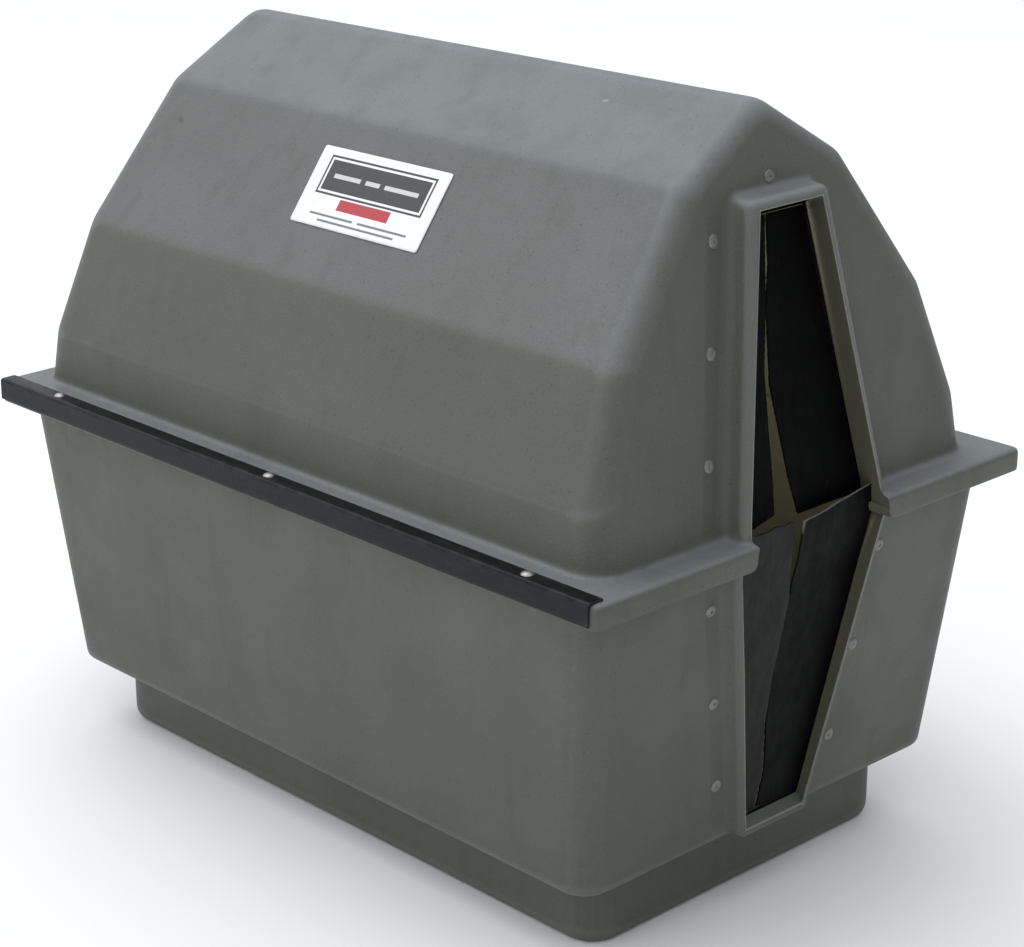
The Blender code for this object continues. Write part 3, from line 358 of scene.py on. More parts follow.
def printed_label(name):
    """Vinyl plate: white ground, a grey panel inside a line, one red bar and plain rules."""
    s = Shade(name, 0.32, Coat_Weight=0.25, Coat_Roughness=0.15)
    uv = s.xyz(s.node("ShaderNodeUVMap", uv_map="plate").outputs["UV"])

    def inside(x0, x1, y0, y1, soft=0.0012):
        edges = [s.band(uv[0], x0 - soft, x0 + soft), s.band(uv[0], x1 + soft, x1 - soft),
                 s.band(uv[1], y0 - soft, y0 + soft), s.band(uv[1], y1 + soft, y1 - soft)]
        total = edges[0]
        for edge in edges[1:]:
            total = s.math("MULTIPLY", total, edge)
        return total

    paper = s.mix(s.band(s.noise(60, 4.0, 0.7), 0.45, 0.8, 0.0, 0.25), (0.80, 0.80, 0.82), (0.60, 0.59, 0.57))
    ink = (0.022, 0.022, 0.024)
    colour = s.mix(inside(0.085, 0.915, 0.405, 0.90), paper, ink)
    colour = s.mix(inside(0.098, 0.902, 0.432, 0.873), colour, paper)
    colour = s.mix(inside(0.112, 0.888, 0.460, 0.845), colour, ink)
    colour = s.mix(inside(0.30, 0.70, 0.245, 0.385), colour, (0.42, 0.020, 0.030))
    for x0, x1, y in ((0.12, 0.46, 0.155), (0.50, 0.88, 0.155), (0.20, 0.80, 0.085)):
        colour = s.mix(inside(x0, x1, y - 0.014, y + 0.014), colour, (0.16, 0.16, 0.17))
    for k, (x0, x1) in enumerate(((0.17, 0.38), (0.42, 0.53), (0.57, 0.83))):
        colour = s.mix(inside(x0, x1, 0.625, 0.680), colour, (0.55, 0.55, 0.57))
    scratch = s.band(s.noise(1.0, 2.0, 0.6, s.scaled(60, 500, 500), 2.0), 0.70, 0.76)
    colour = s.mix(s.math("MULTIPLY", scratch, 0.35), colour, (0.5, 0.5, 0.5))
    rough = s.band(s.noise(80, 3.0), 0.3, 0.7, 0.26, 0.42)
    return s.done(colour, rough, s.bump(s.noise(25, 3.0), 0.002, 0.15))


def edge_highlight_lines(front, edges, share):
    """Painted highlight: thin pale strokes along the cut edge of the opening, from (y, z, y, z) rows."""
    return tuple(((front(z0) - 0.0005, y0, z0), (front(z1) - 0.0005, y1, z1), 0.0016, share, PALE)
                 for y0, z0, y1, z1 in edges)


UP_LOW, UP_HIGH = up_in(0.50, 0.55), up_in(OPEN_TOP, up_front(OPEN_TOP))
LO_HIGH, LO_LOW = lo_in(SKIRT_Z, lo_front(SKIRT_Z)), lo_in(OPEN_BOT, lo_front(OPEN_BOT))
# the first rows are painted highlights along the opening's edge; the rest are scratches, a pale speck and a
# smudge
HOOD_MARKS = edge_highlight_lines(up_front, ((-UP_LOW, 0.50, -UP_HIGH, OPEN_TOP), (UP_LOW, 0.50, UP_HIGH, OPEN_TOP),
                                   (-0.053, OPEN_TOP, 0.053, OPEN_TOP)), 0.45) + (
    ((0.508, -0.235, 0.602), (0.509, -0.160, 0.606), 0.0013, 0.55, PALE),
    ((0.508, -0.214, 0.592), (0.508, -0.206, 0.598), 0.0009, 0.25, PALE),
    ((0.252, -0.047, 0.937), (0.256, -0.045, 0.938), 0.0018, 0.65, PALE),
    ((-0.398, -0.168, 0.841), (-0.392, -0.170, 0.838), 0.0050, 0.40, DUSKY),
)
# painted highlights along the tub opening's edge
TUB_MARKS = edge_highlight_lines(lo_front, ((-LO_HIGH, SKIRT_Z, -LO_LOW, OPEN_BOT),
                                  (LO_HIGH, SKIRT_Z, LO_LOW, OPEN_BOT),
                                  (-0.050, OPEN_BOT, 0.050, OPEN_BOT)), 0.40)

MATS = {
    "hood": poly("hood_poly", (0.163, 0.176, 0.183), (0.093, 0.098, 0.080), (0.056, 0.064, 0.051), HOOD_MARKS,
                 (0.1265, -0.1618, SPLIT_UP, 0.500, 0.860)),
    # same poly as the hood with a darker lit tone: painted shade on the tub's up-facing faces
    "tub": poly("tub_poly", (0.128, 0.138, 0.128), (0.098, 0.103, 0.084), (0.054, 0.061, 0.048), TUB_MARKS,
                (0.1260, 0.1932, SPLIT_LO, 0.110, 0.463)),
    "flap_up": rubber("rubber_upper", (0.0020, 0.0023, 0.0021), 0.60, 0.06),
    "flap_near": rubber("rubber_lower_near", (0.0085, 0.0086, 0.0084), 0.45, 0.18),
    "flap_far": rubber("rubber_lower_far", (0.0022, 0.0024, 0.0023), 0.50, 0.09, 0.6),
    "angle": black_paint("angle_black"),
    "bolt": metal("bolt_zinc", (0.40, 0.375, 0.37), 0.34, 0.52, scale=260, dirt=0.35),
    "rivet": metal("rivet_alloy_dull", (0.235, 0.230, 0.222), 0.42, 0.62, scale=200, dirt=0.55, shine=0.6),
    "mandrel": metal("rivet_mandrel", (0.035, 0.034, 0.033), 0.5, 0.7, scale=300, dirt=0.5, shine=0.5),
    "galvanised": galvanised("hinge_galvanised", (0.56, 0.57, 0.58)),
    "zinc": galvanised("zinc_plain", (0.58, 0.59, 0.60)),
    "floor": plastic("floor_grey", (0.30, 0.30, 0.27), 0.55, 300, 0.0005, (0.22, 0.18, 0.12), 0.4),
    "black": plastic("black_moulded", (0.018, 0.018, 0.019), 0.42),
    "paint": painted("housing_grey", (0.20, 0.21, 0.21)),
    "element": metal("element_sheath_dark", (0.20, 0.15, 0.12), 0.4, 0.6, scale=150, dirt=0.6),
    "ceramic": plastic("ceramic_pale", (0.72, 0.70, 0.64), 0.6, 600, 0.0003, (0.4, 0.36, 0.3), 0.3),
    "red": plastic("switch_red", (0.42, 0.018, 0.018), 0.32, 700, 0.0002),
    "label": printed_label("label_print"),
}


# ---------------------------------------------------------------- mesh helpers
def piece(name, mesh, body, slot, material, *nodes):
    obj = bpy.data.objects.new(name, mesh)
    bpy.context.scene.collection.objects.link(obj)
    mesh.materials.clear()
    mesh.materials.append(MATS[material])
    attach(obj, body)
    if nodes:
        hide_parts(*nodes)
    return obj


def baked(obj):
    """The object's mesh with its modifiers applied."""
    bpy.context.view_layer.update()
    graph = bpy.context.evaluated_depsgraph_get()
    return bpy.data.meshes.new_from_object(obj.evaluated_get(graph))


def through(mesh, *modifiers):
    """The mesh after modifiers, each given as (type, settings)."""
    obj = bpy.data.objects.new("work", mesh)
    bpy.context.scene.collection.objects.link(obj)
    for kind, settings in modifiers:
        made = obj.modifiers.new(kind.lower(), kind)
        for key, value in settings.items():
            setattr(made, key, value)
    result = baked(obj)
    bpy.data.objects.remove(obj)
    return result


class Surface:
    """Vertex arrays of a mesh, for smoothing that is the same each run."""

    def __init__(self, mesh):
        self.mesh, self.size = mesh, len(mesh.vertices)
        self.co = np.empty(self.size * 3, np.float32)
        mesh.vertices.foreach_get("co", self.co)
        self.co = self.co.reshape(-1, 3).astype(float)
        ends = np.empty(len(mesh.edges) * 2, np.int32)
        mesh.edges.foreach_get("vertices", ends)
        self.a, self.b = ends.reshape(-1, 2).T
        self.count = np.maximum(np.bincount(self.a, minlength=self.size)
                                + np.bincount(self.b, minlength=self.size), 1)

    def near(self, values):
        """Mean of each vertex's neighbours."""
        flat = values.reshape(self.size, -1)
        total = np.stack([np.bincount(self.a, column[self.b], self.size)
                          + np.bincount(self.b, column[self.a], self.size) for column in flat.T], 1)
        return (total / self.count[:, None]).reshape(values.shape)

    def normals(self):
        self.write()
        out = np.empty(self.size * 3, np.float32)
        self.mesh.vertex_normals.foreach_get("vector", out)
        return out.reshape(-1, 3).astype(float)

    def write(self):
        self.mesh.vertices.foreach_set("co", self.co.astype(np.float32).ravel())
        self.mesh.update()

    def bulge(self):
        """How far each vertex stands out of its neighbours' mean, positive where convex."""
        return ((self.co - self.near(self.co)) * self.normals()).sum(1)

    def smooth(self, passes, share=0.5, weight=None):
        weight = 1.0 if weight is None else weight[:, None]
        for _ in range(passes):
            self.co += share * weight * (self.near(self.co) - self.co)

    def store(self, name, values):
        made = self.mesh.attributes.new(name, "FLOAT", "POINT")
        made.data.foreach_set("value", values.astype(np.float32))


def read(mesh, name):
    out = np.empty(len(mesh.vertices), np.float32)
    mesh.attributes[name].data.foreach_get("value", out)
    return out


def lofted(loops):
    """Closed mesh through rings of points of the same count."""
    bm = bmesh.new()
    rings = [[bm.verts.new(point) for point in loop] for loop in loops]
    for a, b in zip(rings, rings[1:]):
        for i in range(len(a)):
            j = (i + 1) % len(a)
            bm.faces.new((a[i], a[j], b[j], b[i]))
    bm.faces.new(rings[0])
    bm.faces.new(rings[-1])
    bmesh.ops.recalc_face_normals(bm, faces=bm.faces)
    mesh = bpy.data.meshes.new("solid")
    bm.to_mesh(mesh)
    bm.free()
    return mesh


def band_loop(rows):
    """Ring from (x, half width, z) rows, mirrored across the middle plane."""
    return [(x, -w, z) for x, w, z in rows] + [(x, w, z) for x, w, z in reversed(rows)]


def combined(mesh, tools, operation):
    for tool in tools:
        other = bpy.data.objects.new("tool", tool)
        bpy.context.scene.collection.objects.link(other)
        mesh = through(mesh, ("BOOLEAN", {"operation": operation, "solver": "EXACT", "object": other}))
        bpy.data.objects.remove(other)
    return mesh


def split_normals(mesh, source, normals):
    """Smooth normals from the uncut skin, and each cut face's own normal."""
    tree = kdtree.KDTree(len(source))
    for i, point in enumerate(source):
        tree.insert(point, i)
    tree.balance()
    own = [Vector(normals[tree.find(v.co)[1]]) for v in mesh.vertices]
    split = [None] * len(mesh.loops)
    for face in mesh.polygons:
        for loop in face.loop_indices:
            normal = own[mesh.loops[loop].vertex_index]
            split[loop] = tuple(normal if normal.dot(face.normal) > 0.70 else face.normal)
    mesh.polygons.foreach_set("use_smooth", np.ones(len(mesh.polygons), bool))
    mesh.normals_split_custom_set(split)


def moulded(node, fillet_passes, soft, crisp, plugs, cutters):
    """A node's mesh as the mould leaves it: edges rounded over, inner corners filled softly.
    The opening is filled with plugs first and cut through the finished skin, so its edge is trimmed."""
    welded = through(frame["nodes"][node].data.copy(), ("WELD", {"merge_threshold": 0.00002}))
    source = combined(welded, plugs, "UNION")
    mesh = through(source, ("REMESH", {"mode": "VOXEL", "voxel_size": VOXEL}))
    skin = Surface(mesh)
    keep = crisp(skin.co)
    skin.smooth(5, 0.5, 1 - 0.65 * keep)
    skin.smooth(14, 0.6, soft(skin.co))
    hollow = np.clip(-skin.bulge() / (0.035 * VOXEL), 0, 1)
    for _ in range(6):
        hollow = np.maximum(hollow, 0.94 * skin.near(hollow))
    for _ in range(4):
        hollow = skin.near(hollow)
    skin.smooth(fillet_passes, 0.6, np.clip(hollow, 0, 1))
    skin.smooth(2, 0.5, 1 - 0.65 * keep)
    # convexity kept for the material's edge wear and painted highlight
    out = np.clip(skin.bulge() / (0.030 * VOXEL), 0, 1)
    for _ in range(3):
        out = skin.near(out)
    normals = skin.normals()
    for _ in range(9):
        normals = skin.near(normals) * (1 - 0.7 * keep[:, None]) + normals * 0.7 * keep[:, None]
    skin.store("edge_wear_and_highlight", np.clip(out * 1.5, 0, 1) * (1 - 0.6 * keep))
    for k, axis in enumerate("xyz"):
        skin.store(f"n{axis}", normals[:, k])
    count = len(mesh.polygons) * 2
    thin = through(mesh, ("DECIMATE", {"ratio": min(1.0, SHELL_FACES / count)}))
    found = np.stack([read(thin, f"n{axis}") for axis in "xyz"], 1).astype(float)
    found /= np.maximum(np.linalg.norm(found, axis=1), 1e-9)[:, None]
    for axis in "xyz":
        thin.attributes.remove(thin.attributes[f"n{axis}"])
    points = [v.co.copy() for v in thin.vertices]
    cut = combined(thin, cutters, "DIFFERENCE")
    split_normals(cut, points, found)
    return cut


def ease(values, low, high):
    t = np.clip((values - low) / (high - low), 0, 1)
    return t * t * (3 - 2 * t)


# ---------------------------------------------------------------- hood and tub
def hood_soft(co):
    """1 on the hood's raised frame, 0 elsewhere."""
    x, z = co[:, 0], co[:, 2]
    return ease(x - hood_x(z), 0.001, 0.006) * ease(z, 0.500, 0.512)


def hood_crisp(co):
    """1 on the flange and skirt, 0 above them."""
    return ease(co[:, 2], 0.504, 0.498)


def tub_soft(co):
    """1 on the tub's raised frame, 0 elsewhere."""
    x, z = co[:, 0], co[:, 2]
    return ease(x - tub_x(z), 0.001, 0.006) * ease(z, 0.100, 0.112) * ease(z, 0.466, 0.455)


def tub_crisp(co):
    """1 on the rim, 0 below it."""
    return ease(co[:, 2], 0.470, 0.480)


VOXEL, SHELL_FACES = 0.0026, 120000
FILL = 0.0015            # how far a plug reaches past the opening's edge
MID_WALL = 0.004         # depth of a plug's back behind the wall's outer face
CUT_X = (0.40, 0.62)     # reach of the opening cutters
heights = (0.488, 0.60, 0.72, OPEN_TOP + FILL)
hood_plugs = [
    lofted([band_loop([(hood_x(z) - MID_WALL, up_in(z, hood_x(z)) + FILL, z) for z in heights]),
            band_loop([(up_front(z), up_in(z, up_front(z)) + FILL, z) for z in heights])]),
    lofted([band_loop([(x, 0.135, z) for z in (SKIRT_Z, FLANGE_Z - 0.001)]) for x in (0.500, FLANGE_X)]),
]
notch_w = up_in(SPLIT_UP, FLANGE_X)
hood_cutters = [
    lofted([band_loop([(x, up_in(z, x), z) for z in (SPLIT_UP, OPEN_TOP)]) for x in CUT_X]),
    lofted([band_loop([(x, w, z) for w, z in
                       ((notch_w + 0.010, 0.42), (notch_w + 0.010, SKIRT_Z),
                        (notch_w + 0.003, SKIRT_Z + 0.003), (notch_w, SKIRT_Z + 0.010),
                        (notch_w, SPLIT_UP + 0.001))]) for x in (0.40, 0.65)]),
]
piece("hood_shell", moulded("upper_hood", 6, hood_soft, hood_crisp, hood_plugs, hood_cutters),
      "hood", "poly_hood", "hood", "upper_hood")

heights = (OPEN_BOT - FILL, 0.20, 0.33, SKIRT_Z, RIM_Z)
tub_plugs = [lofted([band_loop([(tub_x(z) - MID_WALL, lo_in(z, tub_x(z)) + FILL, z) for z in heights]),
                     band_loop([(lo_front(z), lo_in(z, lo_front(z)) + FILL, z) for z in heights])])]
sill = [(x, OPEN_BOT + SILL * (lo_front(OPEN_BOT) - x) / 0.016) for x in CUT_X]
tub_cutters = [lofted([band_loop([(x, lo_in(height, x), height) for height in (0.52, SKIRT_Z, z)])
                       for x, z in sill])]
piece("tub_shell", moulded("lower_tub", 8, tub_soft, tub_crisp, tub_plugs, tub_cutters),
      "base", "poly_tub", "tub", "lower_tub")

# ---------------------------------------------------------------- rubber flaps
def flap(name, node, joint, normal, material, shape):
    """Rubber flap, bowed out of its flat cut, shaped by its distance from the joint's fold line."""
    cad = frame["nodes"][node].data
    hinge = next(j for j in frame["joints"] if j["name"] == joint)
    spot, line = Vector(hinge["pos_m"]), Vector(hinge["axis"])
    away = line.cross(normal).normalized()
    corners = [v.co - spot for v in cad.vertices]
    if sum(c.dot(away) for c in corners) < 0:
        away = -away
    skin = Surface(through(cad.copy(), ("REMESH", {"mode": "VOXEL", "voxel_size": 0.0013})))
    skin.smooth(4)
    depth = (skin.co - np.array(spot)) @ np.array(away)
    skin.co -= 0.0021 * ease(depth, 0.006, 0.0)[:, None] * np.array(away)
    skin.co = shape(skin.co, depth, np.array(normal))
    # convexity kept for the rubber's edge wear and painted highlight
    out = np.clip(skin.bulge() / 0.00012, 0, 1)
    for _ in range(2):
        out = skin.near(out)
    skin.store("edge_wear_and_highlight", np.clip(out * 1.6, 0, 1))
    skin.write()
    mesh = through(skin.mesh, ("DECIMATE", {"ratio": min(1.0, 16000 / (2 * len(skin.mesh.polygons)))}))
    mesh.polygons.foreach_set("use_smooth", np.ones(len(mesh.polygons), bool))
    mesh.materials.clear()
    mesh.materials.append(MATS[material])
    obj = bpy.data.objects.new(name, mesh)
    bpy.context.scene.collection.objects.link(obj)
    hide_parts(node)
    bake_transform(obj)
    return obj


def ragged(co, seed, size, scale):
    return np.array([noise.noise(Vector((p[1] * scale, p[2] * scale, seed))) for p in co]) * size


def upper_near(co, depth, normal):
    out = co + ragged(co, 1.0, 0.0012, 9.0)[:, None] * normal
    out[:, 2] += 0.0055 * ease(co[:, 2], 0.812, 0.829)
    return out


def upper_far(co, depth, normal):
    out = co + (ragged(co, 2.0, 0.0012, 9.0) - 0.003 * ease(depth, 0.02, 0.09))[:, None] * normal
    out[:, 2] += 0.0055 * ease(co[:, 2], 0.812, 0.829)
    return out


def lower_near(co, depth, normal):
    z = co[:, 2]
    top = ease(z, 0.400, 0.472)
    bow = 0.003 * ease(depth, 0.0, 0.09) * np.sin(np.pi * ease(z, 0.155, 0.472)) + 0.004 * top
    out = co + (bow + ragged(co, 3.0, 0.0010, 10.0))[:, None] * normal
    out[:, 2] += ease(z, 0.440, 0.472) * (0.016 + ragged(co, 3.5, 0.004, 55.0) - 0.03 * co[:, 1])
    return out


def lower_far(co, depth, normal):
    z = co[:, 2]
    top = ease(z, 0.395, 0.472)
    bow = -0.003 * ease(depth, 0.0, 0.09) * np.sin(np.pi * ease(z, 0.155, 0.472)) + 0.008 * top
    out = co + (bow + ragged(co, 4.0, 0.0010, 10.0))[:, None] * normal
    out[:, 2] += ease(z, 0.430, 0.472) * (0.016 + 0.15 * co[:, 1] + ragged(co, 4.5, 0.002, 40.0))
    return out


for side in ("near", "far"):
    flap(f"upper_flap_{side}", f"flap_upper_{side}", f"upper_{side}_flap_fold",
         HOOD_N, "flap_up", {"near": upper_near, "far": upper_far}[side])
    flap(f"lower_flap_{side}", f"flap_lower_{side}", f"lower_{side}_flap_fold",
         TUB_N, f"flap_{side}", {"near": lower_near, "far": lower_far}[side])


# ---------------------------------------------------------------- turned parts
def turned(name, node, direction, body, slot, material, profile, drop, inner=None, segments=32):
    """A node's own turned shape in finer rings. The profile is (radius, height) from the crown down;
    drop is how far the node's top stands above height 0, and inner (radius, shift, angle)
    moves the rings of the dark hole off centre; the hole's dark finish is the mandrel's steel and painted
    shade."""
    cad = frame["nodes"][node].data
    direction = Vector(direction).normalized()
    points = [v.co for v in cad.vertices]
    top = max(p.dot(direction) for p in points)
    low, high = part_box(node)
    middle = (low + high) / 2
    origin = middle + direction * (top - drop - middle.dot(direction))
    turn = Vector((0, 0, 1)).rotation_difference(direction).to_matrix()
    bm = bmesh.new()
    rings = []
    for radius, height in profile:
        shift = Vector((0, 0, 0))
        if inner:
            reach = max(0.0, (radius - inner[0]) / (0.8 * inner[0]))
            fade = 1 - min(1.0, reach) if height > -0.0005 else 0
            shift = Vector((math.cos(inner[2]), math.sin(inner[2]), 0)) * inner[1] * fade
        steps = 1 if radius == 0 else segments
        angles = (math.tau * i / steps for i in range(steps))
        rings.append([bm.verts.new(origin + turn @ (
            Vector((radius * math.cos(a), radius * math.sin(a), height)) + shift)) for a in angles])
    for step, (above, below, (outer, _)) in enumerate(zip(rings, rings[1:], profile[1:])):
        for i in range(segments):
            j = (i + 1) % segments
            corners = [above[i % len(above)], above[j % len(above)],
                       below[j % len(below)], below[i % len(below)]]
            face = bm.faces.new(list(dict.fromkeys(corners)))
            face.smooth = True
            # the hole's floor and walls take the dark finish: the mandrel's steel and painted shade in the
            # hole
            face.material_index = 1 if inner and outer < inner[0] and step < 4 else 0
    bmesh.ops.recalc_face_normals(bm, faces=bm.faces)
    mesh = bpy.data.meshes.new(name)
    bm.to_mesh(mesh)
    bm.free()
    mesh.set_sharp_from_angle(angle=math.radians(50))
    obj = piece(name, mesh, body, slot, material, node)
    if inner:
        mesh.materials.append(MATS["mandrel"])
    return obj


RIVET = [(0, 0.0002), (0.0009, 0.0002), (0.0013, 0.0004), (0.0017, 0.0016), (0.0021, 0.0021),
         (0.0030, 0.00215), (0.0045, 0.0020), (0.0060, 0.0016), (0.0072, 0.0011), (0.0078, 0.0006),
         (0.0080, 0.0003),
         (0.0024, 0.0003), (0.0024, -0.0094), (0.0036, -0.0096), (0.0043, -0.0104), (0.0044, -0.0121),
         (0.0038, -0.0136), (0.0024, -0.0146), (0.0, -0.0149)]
HOLE, RIVET_DROP = 0.0021, 0.0021
BOLT = [(0, 0.0037), (0.0018, 0.0036), (0.0036, 0.0033), (0.0052, 0.0027), (0.0064, 0.0019),
        (0.0071, 0.0012), (0.0075, 0.0007), (0.0077, 0.0003),
        (0.0026, 0.0003), (0.0026, -0.0172), (0.0019, -0.0180), (0, -0.0180)]
BOLT_DROP = 0.0036
count = 0
for group, direction, body in (("upper", HOOD_N, "hood"), ("lower", TUB_N, "base")):
    for side in ("near", "far"):
        for i in (1, 2, 3):
            turned(f"blind_rivet_{group}_{side}_{i}", f"rivet_{group}_{side}_{i}", direction, body,
                   "rivet_alloy", "rivet", RIVET, RIVET_DROP, (HOLE, 0.0011, 0.4 + 2.1 * count))
            count += 1
turned("blind_rivet_top", "rivet_top", HOOD_N, "hood", "rivet_alloy", "rivet", RIVET, RIVET_DROP,
       (HOLE, 0.0010, 1.2))
for i in (1, 2, 3):
    turned(f"dome_bolt_{i}", f"angle_bolt_{i}", (0, 0, 1), "hood", "bright_steel", "bolt", BOLT, BOLT_DROP)


# ---------------------------------------------------------------- stiffener angle
def stiffener():
    low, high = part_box("stiffener_angle")
    t, bend, tip = 0.003, 0.0042, 0.0009
    outline = []

    def arc(cy, cz, radius, start, end, steps, edge_wear_and_highlight):
        for i in range(steps + 1):
            a = math.radians(start + (end - start) * i / steps)
            outline.append((cy + radius * math.cos(a), cz + radius * math.sin(a), edge_wear_and_highlight))

    # the third number of each point lightens that edge in the material: edge wear and a painted highlight on
    # the bend, the tips and the cut ends
    arc(high.y - tip, high.z - tip, tip, 0, 90, 2, 0.8)
    for i in range(1, 5):
        outline.append((high.y - tip + (low.y + bend - high.y + tip) * i / 5, high.z, 0.0))
    arc(low.y + bend, high.z - bend, bend, 90, 180, 7, 1.0)
    for i in range(1, 7):
        outline.append((low.y, high.z - bend + (low.z + tip - high.z + bend) * i / 7, 0.0))
    arc(low.y + tip, low.z + tip, tip, 180, 270, 2, 0.9)
    arc(low.y + t - tip, low.z + tip, tip, 270, 360, 2, 0.5)
    outline.append((low.y + t, high.z - t, 0.0))
    outline.append((high.y, high.z - t, 0.2))
    stations = 110
    bm = bmesh.new()
    layer = bm.verts.layers.float.new("edge_wear_and_highlight")
    rows = []
    for k in range(stations + 1):
        x = low.x + (high.x - low.x) * k / stations
        sag = 0.0007 * noise.noise(Vector((x * 4, 0.3, 0))) - 0.0003
        lean = 0.0006 * noise.noise(Vector((x * 5, 4.3, 0)))
        end = 1.0 if k in (0, stations) else 0.0
        row = []
        for y, z, edge_wear_and_highlight in outline:
            drop = max(0.0, (high.z - z) / (high.z - low.z))
            vert = bm.verts.new((x, y + lean * drop, z + sag * (0.3 + 0.7 * drop)))
            vert[layer] = max(edge_wear_and_highlight, end)
            row.append(vert)
        rows.append(row)
    for a, b in zip(rows, rows[1:]):
        for i in range(len(a)):
            j = (i + 1) % len(a)
            bm.faces.new((a[i], a[j], b[j], b[i])).smooth = True
    bm.faces.new(rows[0])
    bm.faces.new(rows[-1])
    bmesh.ops.recalc_face_normals(bm, faces=bm.faces)
    mesh = bpy.data.meshes.new("lift_angle")
    bm.to_mesh(mesh)
    bm.free()
    mesh.set_sharp_from_angle(angle=math.radians(50))
    return piece("lift_angle", mesh, "hood", "black_steel", "angle", "stiffener_angle")


stiffener()


# ---------------------------------------------------------------- label
def plate():
    """Thin printed plate on the label's own plane, with round corners and lifting edges."""
    cad = frame["nodes"]["label_plate"].data
    face = max(cad.polygons, key=lambda p: p.area)
    normal = face.normal.copy()
    if normal.y > 0:
        normal = -normal
    along_x = Vector((1, 0, 0))
    up = normal.cross(along_x).normalized()
    if up.z < 0:
        up = -up
    points = [v.co for v in cad.vertices]
    centre = sum(points, Vector()) / len(points)
    half_w = max(abs((p - centre).dot(along_x)) for p in points)
    half_h = max(abs((p - centre).dot(up)) for p in points)
    base = max(p.dot(normal) for p in points) - centre.dot(normal) - 0.0008
    columns, rows, corner = 64, 32, 0.003
    bm = bmesh.new()
    uv = bm.loops.layers.uv.new("plate")
    grid, flat = [], {}
    for r in range(rows + 1):
        line = []
        for c in range(columns + 1):
            u, v = c / columns, r / rows
            px, py = (2 * u - 1) * half_w, (2 * v - 1) * half_h
            ox, oy = abs(px) - (half_w - corner), abs(py) - (half_h - corner)
            if ox > 0 and oy > 0:
                size = max(ox, oy)
                length = math.hypot(ox, oy)
                px -= math.copysign(ox - ox / length * size, px)
                py -= math.copysign(oy - oy / length * size, py)
            lift = 0.0004 * max(abs(2 * u - 1), abs(2 * v - 1)) ** 14
            lift += 0.00025 * noise.noise(Vector((px * 30, py * 30, 5)))
            vert = bm.verts.new(centre + along_x * px + up * py + normal * (base + 0.0001 + max(0, lift)))
            flat[vert] = (u, v)
            line.append(vert)
        grid.append(line)
    for a, b in zip(grid, grid[1:]):
        for i in range(columns):
            face = bm.faces.new((a[i], a[i + 1], b[i + 1], b[i]))
            face.smooth = True
            for loop in face.loops:
                loop[uv].uv = flat[loop.vert]
    mesh = bpy.data.meshes.new("printed_plate")
    bm.to_mesh(mesh)
    bm.free()
    mesh = through(mesh, ("SOLIDIFY", {"thickness": 0.0006, "offset": 1.0}))
    return piece("printed_plate", mesh, "hood", "label_white", "label", "label_plate")


plate()

# ---------------------------------------------------------------- carried-over CAD nodes
FINISHES = {
    "flap_up": ["upper_curtain_margin"],
    "flap_far": ["lower_curtain_margin"],
    "galvanised": ["hinge_bracket_1", "hinge_bracket_2", "hinge_leaf_1", "hinge_leaf_2"],
    "bolt": ["hinge_pin_1", "hinge_pin_2", "angle_nut_1", "angle_nut_2", "angle_nut_3"]
            + [f"{part}_rivet_{i}{k}" for part in ("bracket", "leaf") for i in (1, 2) for k in "ab"]
            + [f"housing_screw_{i}" for i in (1, 2, 3, 4)],
    "floor": ["slatted_floor"],
    "black": ["heater_wedge_frame", "fan_blades", "thermostat_knob", "switch_bezel", "cable_gland"],
    "zinc": ["heater_guard", "fan_motor"],
    "paint": ["heater_housing"],
    "element": ["heating_element"],
    "ceramic": ["element_carrier"],
    "red": ["switch_rocker"],
}
BEVELS = {"slatted_floor": 0.0012, "heater_housing": 0.0007, "heater_wedge_frame": 0.0015,
          "switch_bezel": 0.0004, "switch_rocker": 0.0005, "element_carrier": 0.0008,
          "thermostat_knob": 0.0004, "fan_blades": 0.0003, "heater_guard": 0.0003}
for finish, names in FINISHES.items():
    for node in names:
        for entry in frame["nodes"][node].material_slots:
            entry.material = MATS[finish]
        if node in BEVELS:
            edge = frame["nodes"][node].modifiers.new("edge", "BEVEL")
            edge.width, edge.segments, edge.limit_method = BEVELS[node], 2, "ANGLE"
            edge.angle_limit = math.radians(40)

# ---------------------------------------------------------------- camera
YAW, PITCH, ROLL = math.radians(48.0722), math.radians(19.4261), math.radians(-0.732)
back = Vector((math.sin(YAW) * math.cos(PITCH), -math.cos(YAW) * math.cos(PITCH), math.sin(PITCH)))
right = Vector((0, 0, 1)).cross(back).normalized()
upward = back.cross(right)
across = math.cos(ROLL) * right + math.sin(ROLL) * upward
along = -math.sin(ROLL) * right + math.cos(ROLL) * upward
camera = bpy.data.objects.new("camera", bpy.data.cameras.new("camera"))
bpy.context.scene.collection.objects.link(camera)
place = Matrix((across, along, back)).transposed().to_4x4()
place.translation = Vector((-0.1184, 0.0, 0.3829)) + back * 3.4306
camera.matrix_world = place
camera.data.sensor_fit = "HORIZONTAL"
camera.data.sensor_width = 36.0
camera.data.lens = 90.71
camera.data.shift_x, camera.data.shift_y = 0.0869, -0.0034
bpy.context.scene.camera = camera

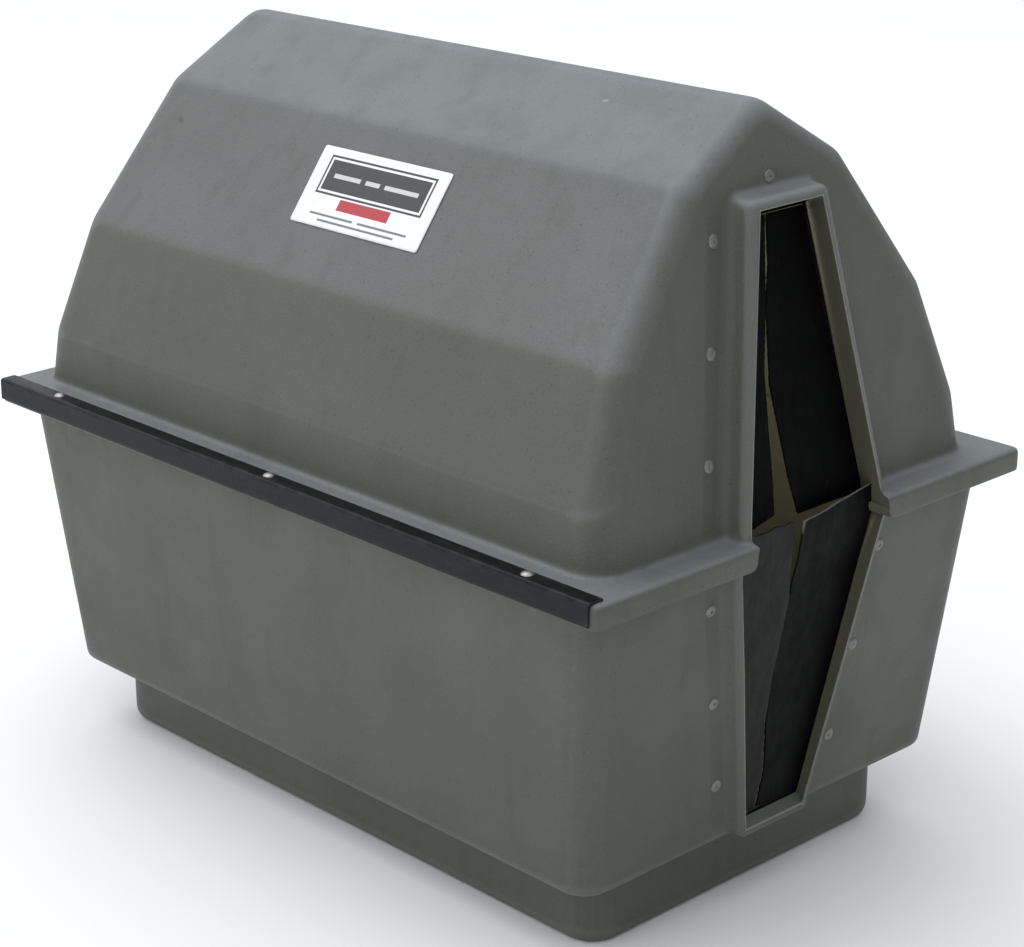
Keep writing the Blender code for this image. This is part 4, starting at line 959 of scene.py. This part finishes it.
# ---------------------------------------------------------------- studio
mesh = bpy.data.meshes.new("studio_floor")
bm = bmesh.new()
bmesh.ops.create_grid(bm, x_segments=2, y_segments=2, size=40.0)
bm.to_mesh(mesh)
bm.free()
ground = bpy.data.objects.new("studio_floor", mesh)
bpy.context.scene.collection.objects.link(ground)
paper = Shade("studio_paper", 0.9)
mesh.materials.append(paper.done(paper.mix(paper.noise(2.0, 2.0), (0.87, 0.87, 0.87), (0.89, 0.89, 0.89))))

world = bpy.data.worlds.new("studio")
bpy.context.scene.world = world
world.use_nodes = True
sky = world.node_tree
glow = sky.nodes["Background"]
glow.inputs["Color"].default_value = (0.94, 0.97, 1.0, 1.0)
aim = sky.nodes.new("ShaderNodeVectorMath")
aim.operation = "DOT_PRODUCT"
aim.inputs[1].default_value = Vector((-0.34, -0.16, 1.0)).normalized()
sky.links.new(sky.nodes.new("ShaderNodeTexCoord").outputs["Generated"], aim.inputs[0])
rise = sky.nodes.new("ShaderNodeMapRange")
for key, value in (("From Min", 0.0), ("From Max", 1.0), ("To Min", 0.22), ("To Max", 1.75)):
    rise.inputs[key].default_value = value
sky.links.new(aim.outputs["Value"], rise.inputs["Value"])
sky.links.new(rise.outputs["Result"], glow.inputs["Strength"])


def lamp(name, spot, target, size, power, colour=(1, 1, 1)):
    data = bpy.data.lights.new(name, "AREA")
    data.shape, data.size, data.energy, data.color = "DISK", size, power, colour
    obj = bpy.data.objects.new(name, data)
    bpy.context.scene.collection.objects.link(obj)
    obj.location = spot
    obj.rotation_mode = "QUATERNION"
    obj.rotation_quaternion = (Vector(target) - Vector(spot)).to_track_quat("-Z", "Y")


lamp("overhead", (-1.4, -1.0, 4.6), (0, 0, 0.4), 3.2, 40, (0.97, 0.985, 1.0))
glim = bpy.data.lights.new("inside", "POINT")
glim.energy, glim.color, glim.shadow_soft_size = 3.0, (1.0, 0.86, 0.62), 0.08
inside = bpy.data.objects.new("inside", glim)
bpy.context.scene.collection.objects.link(inside)
inside.location = (0.10, 0.02, 0.62)
bpy.context.scene.view_settings.view_transform = "Standard"
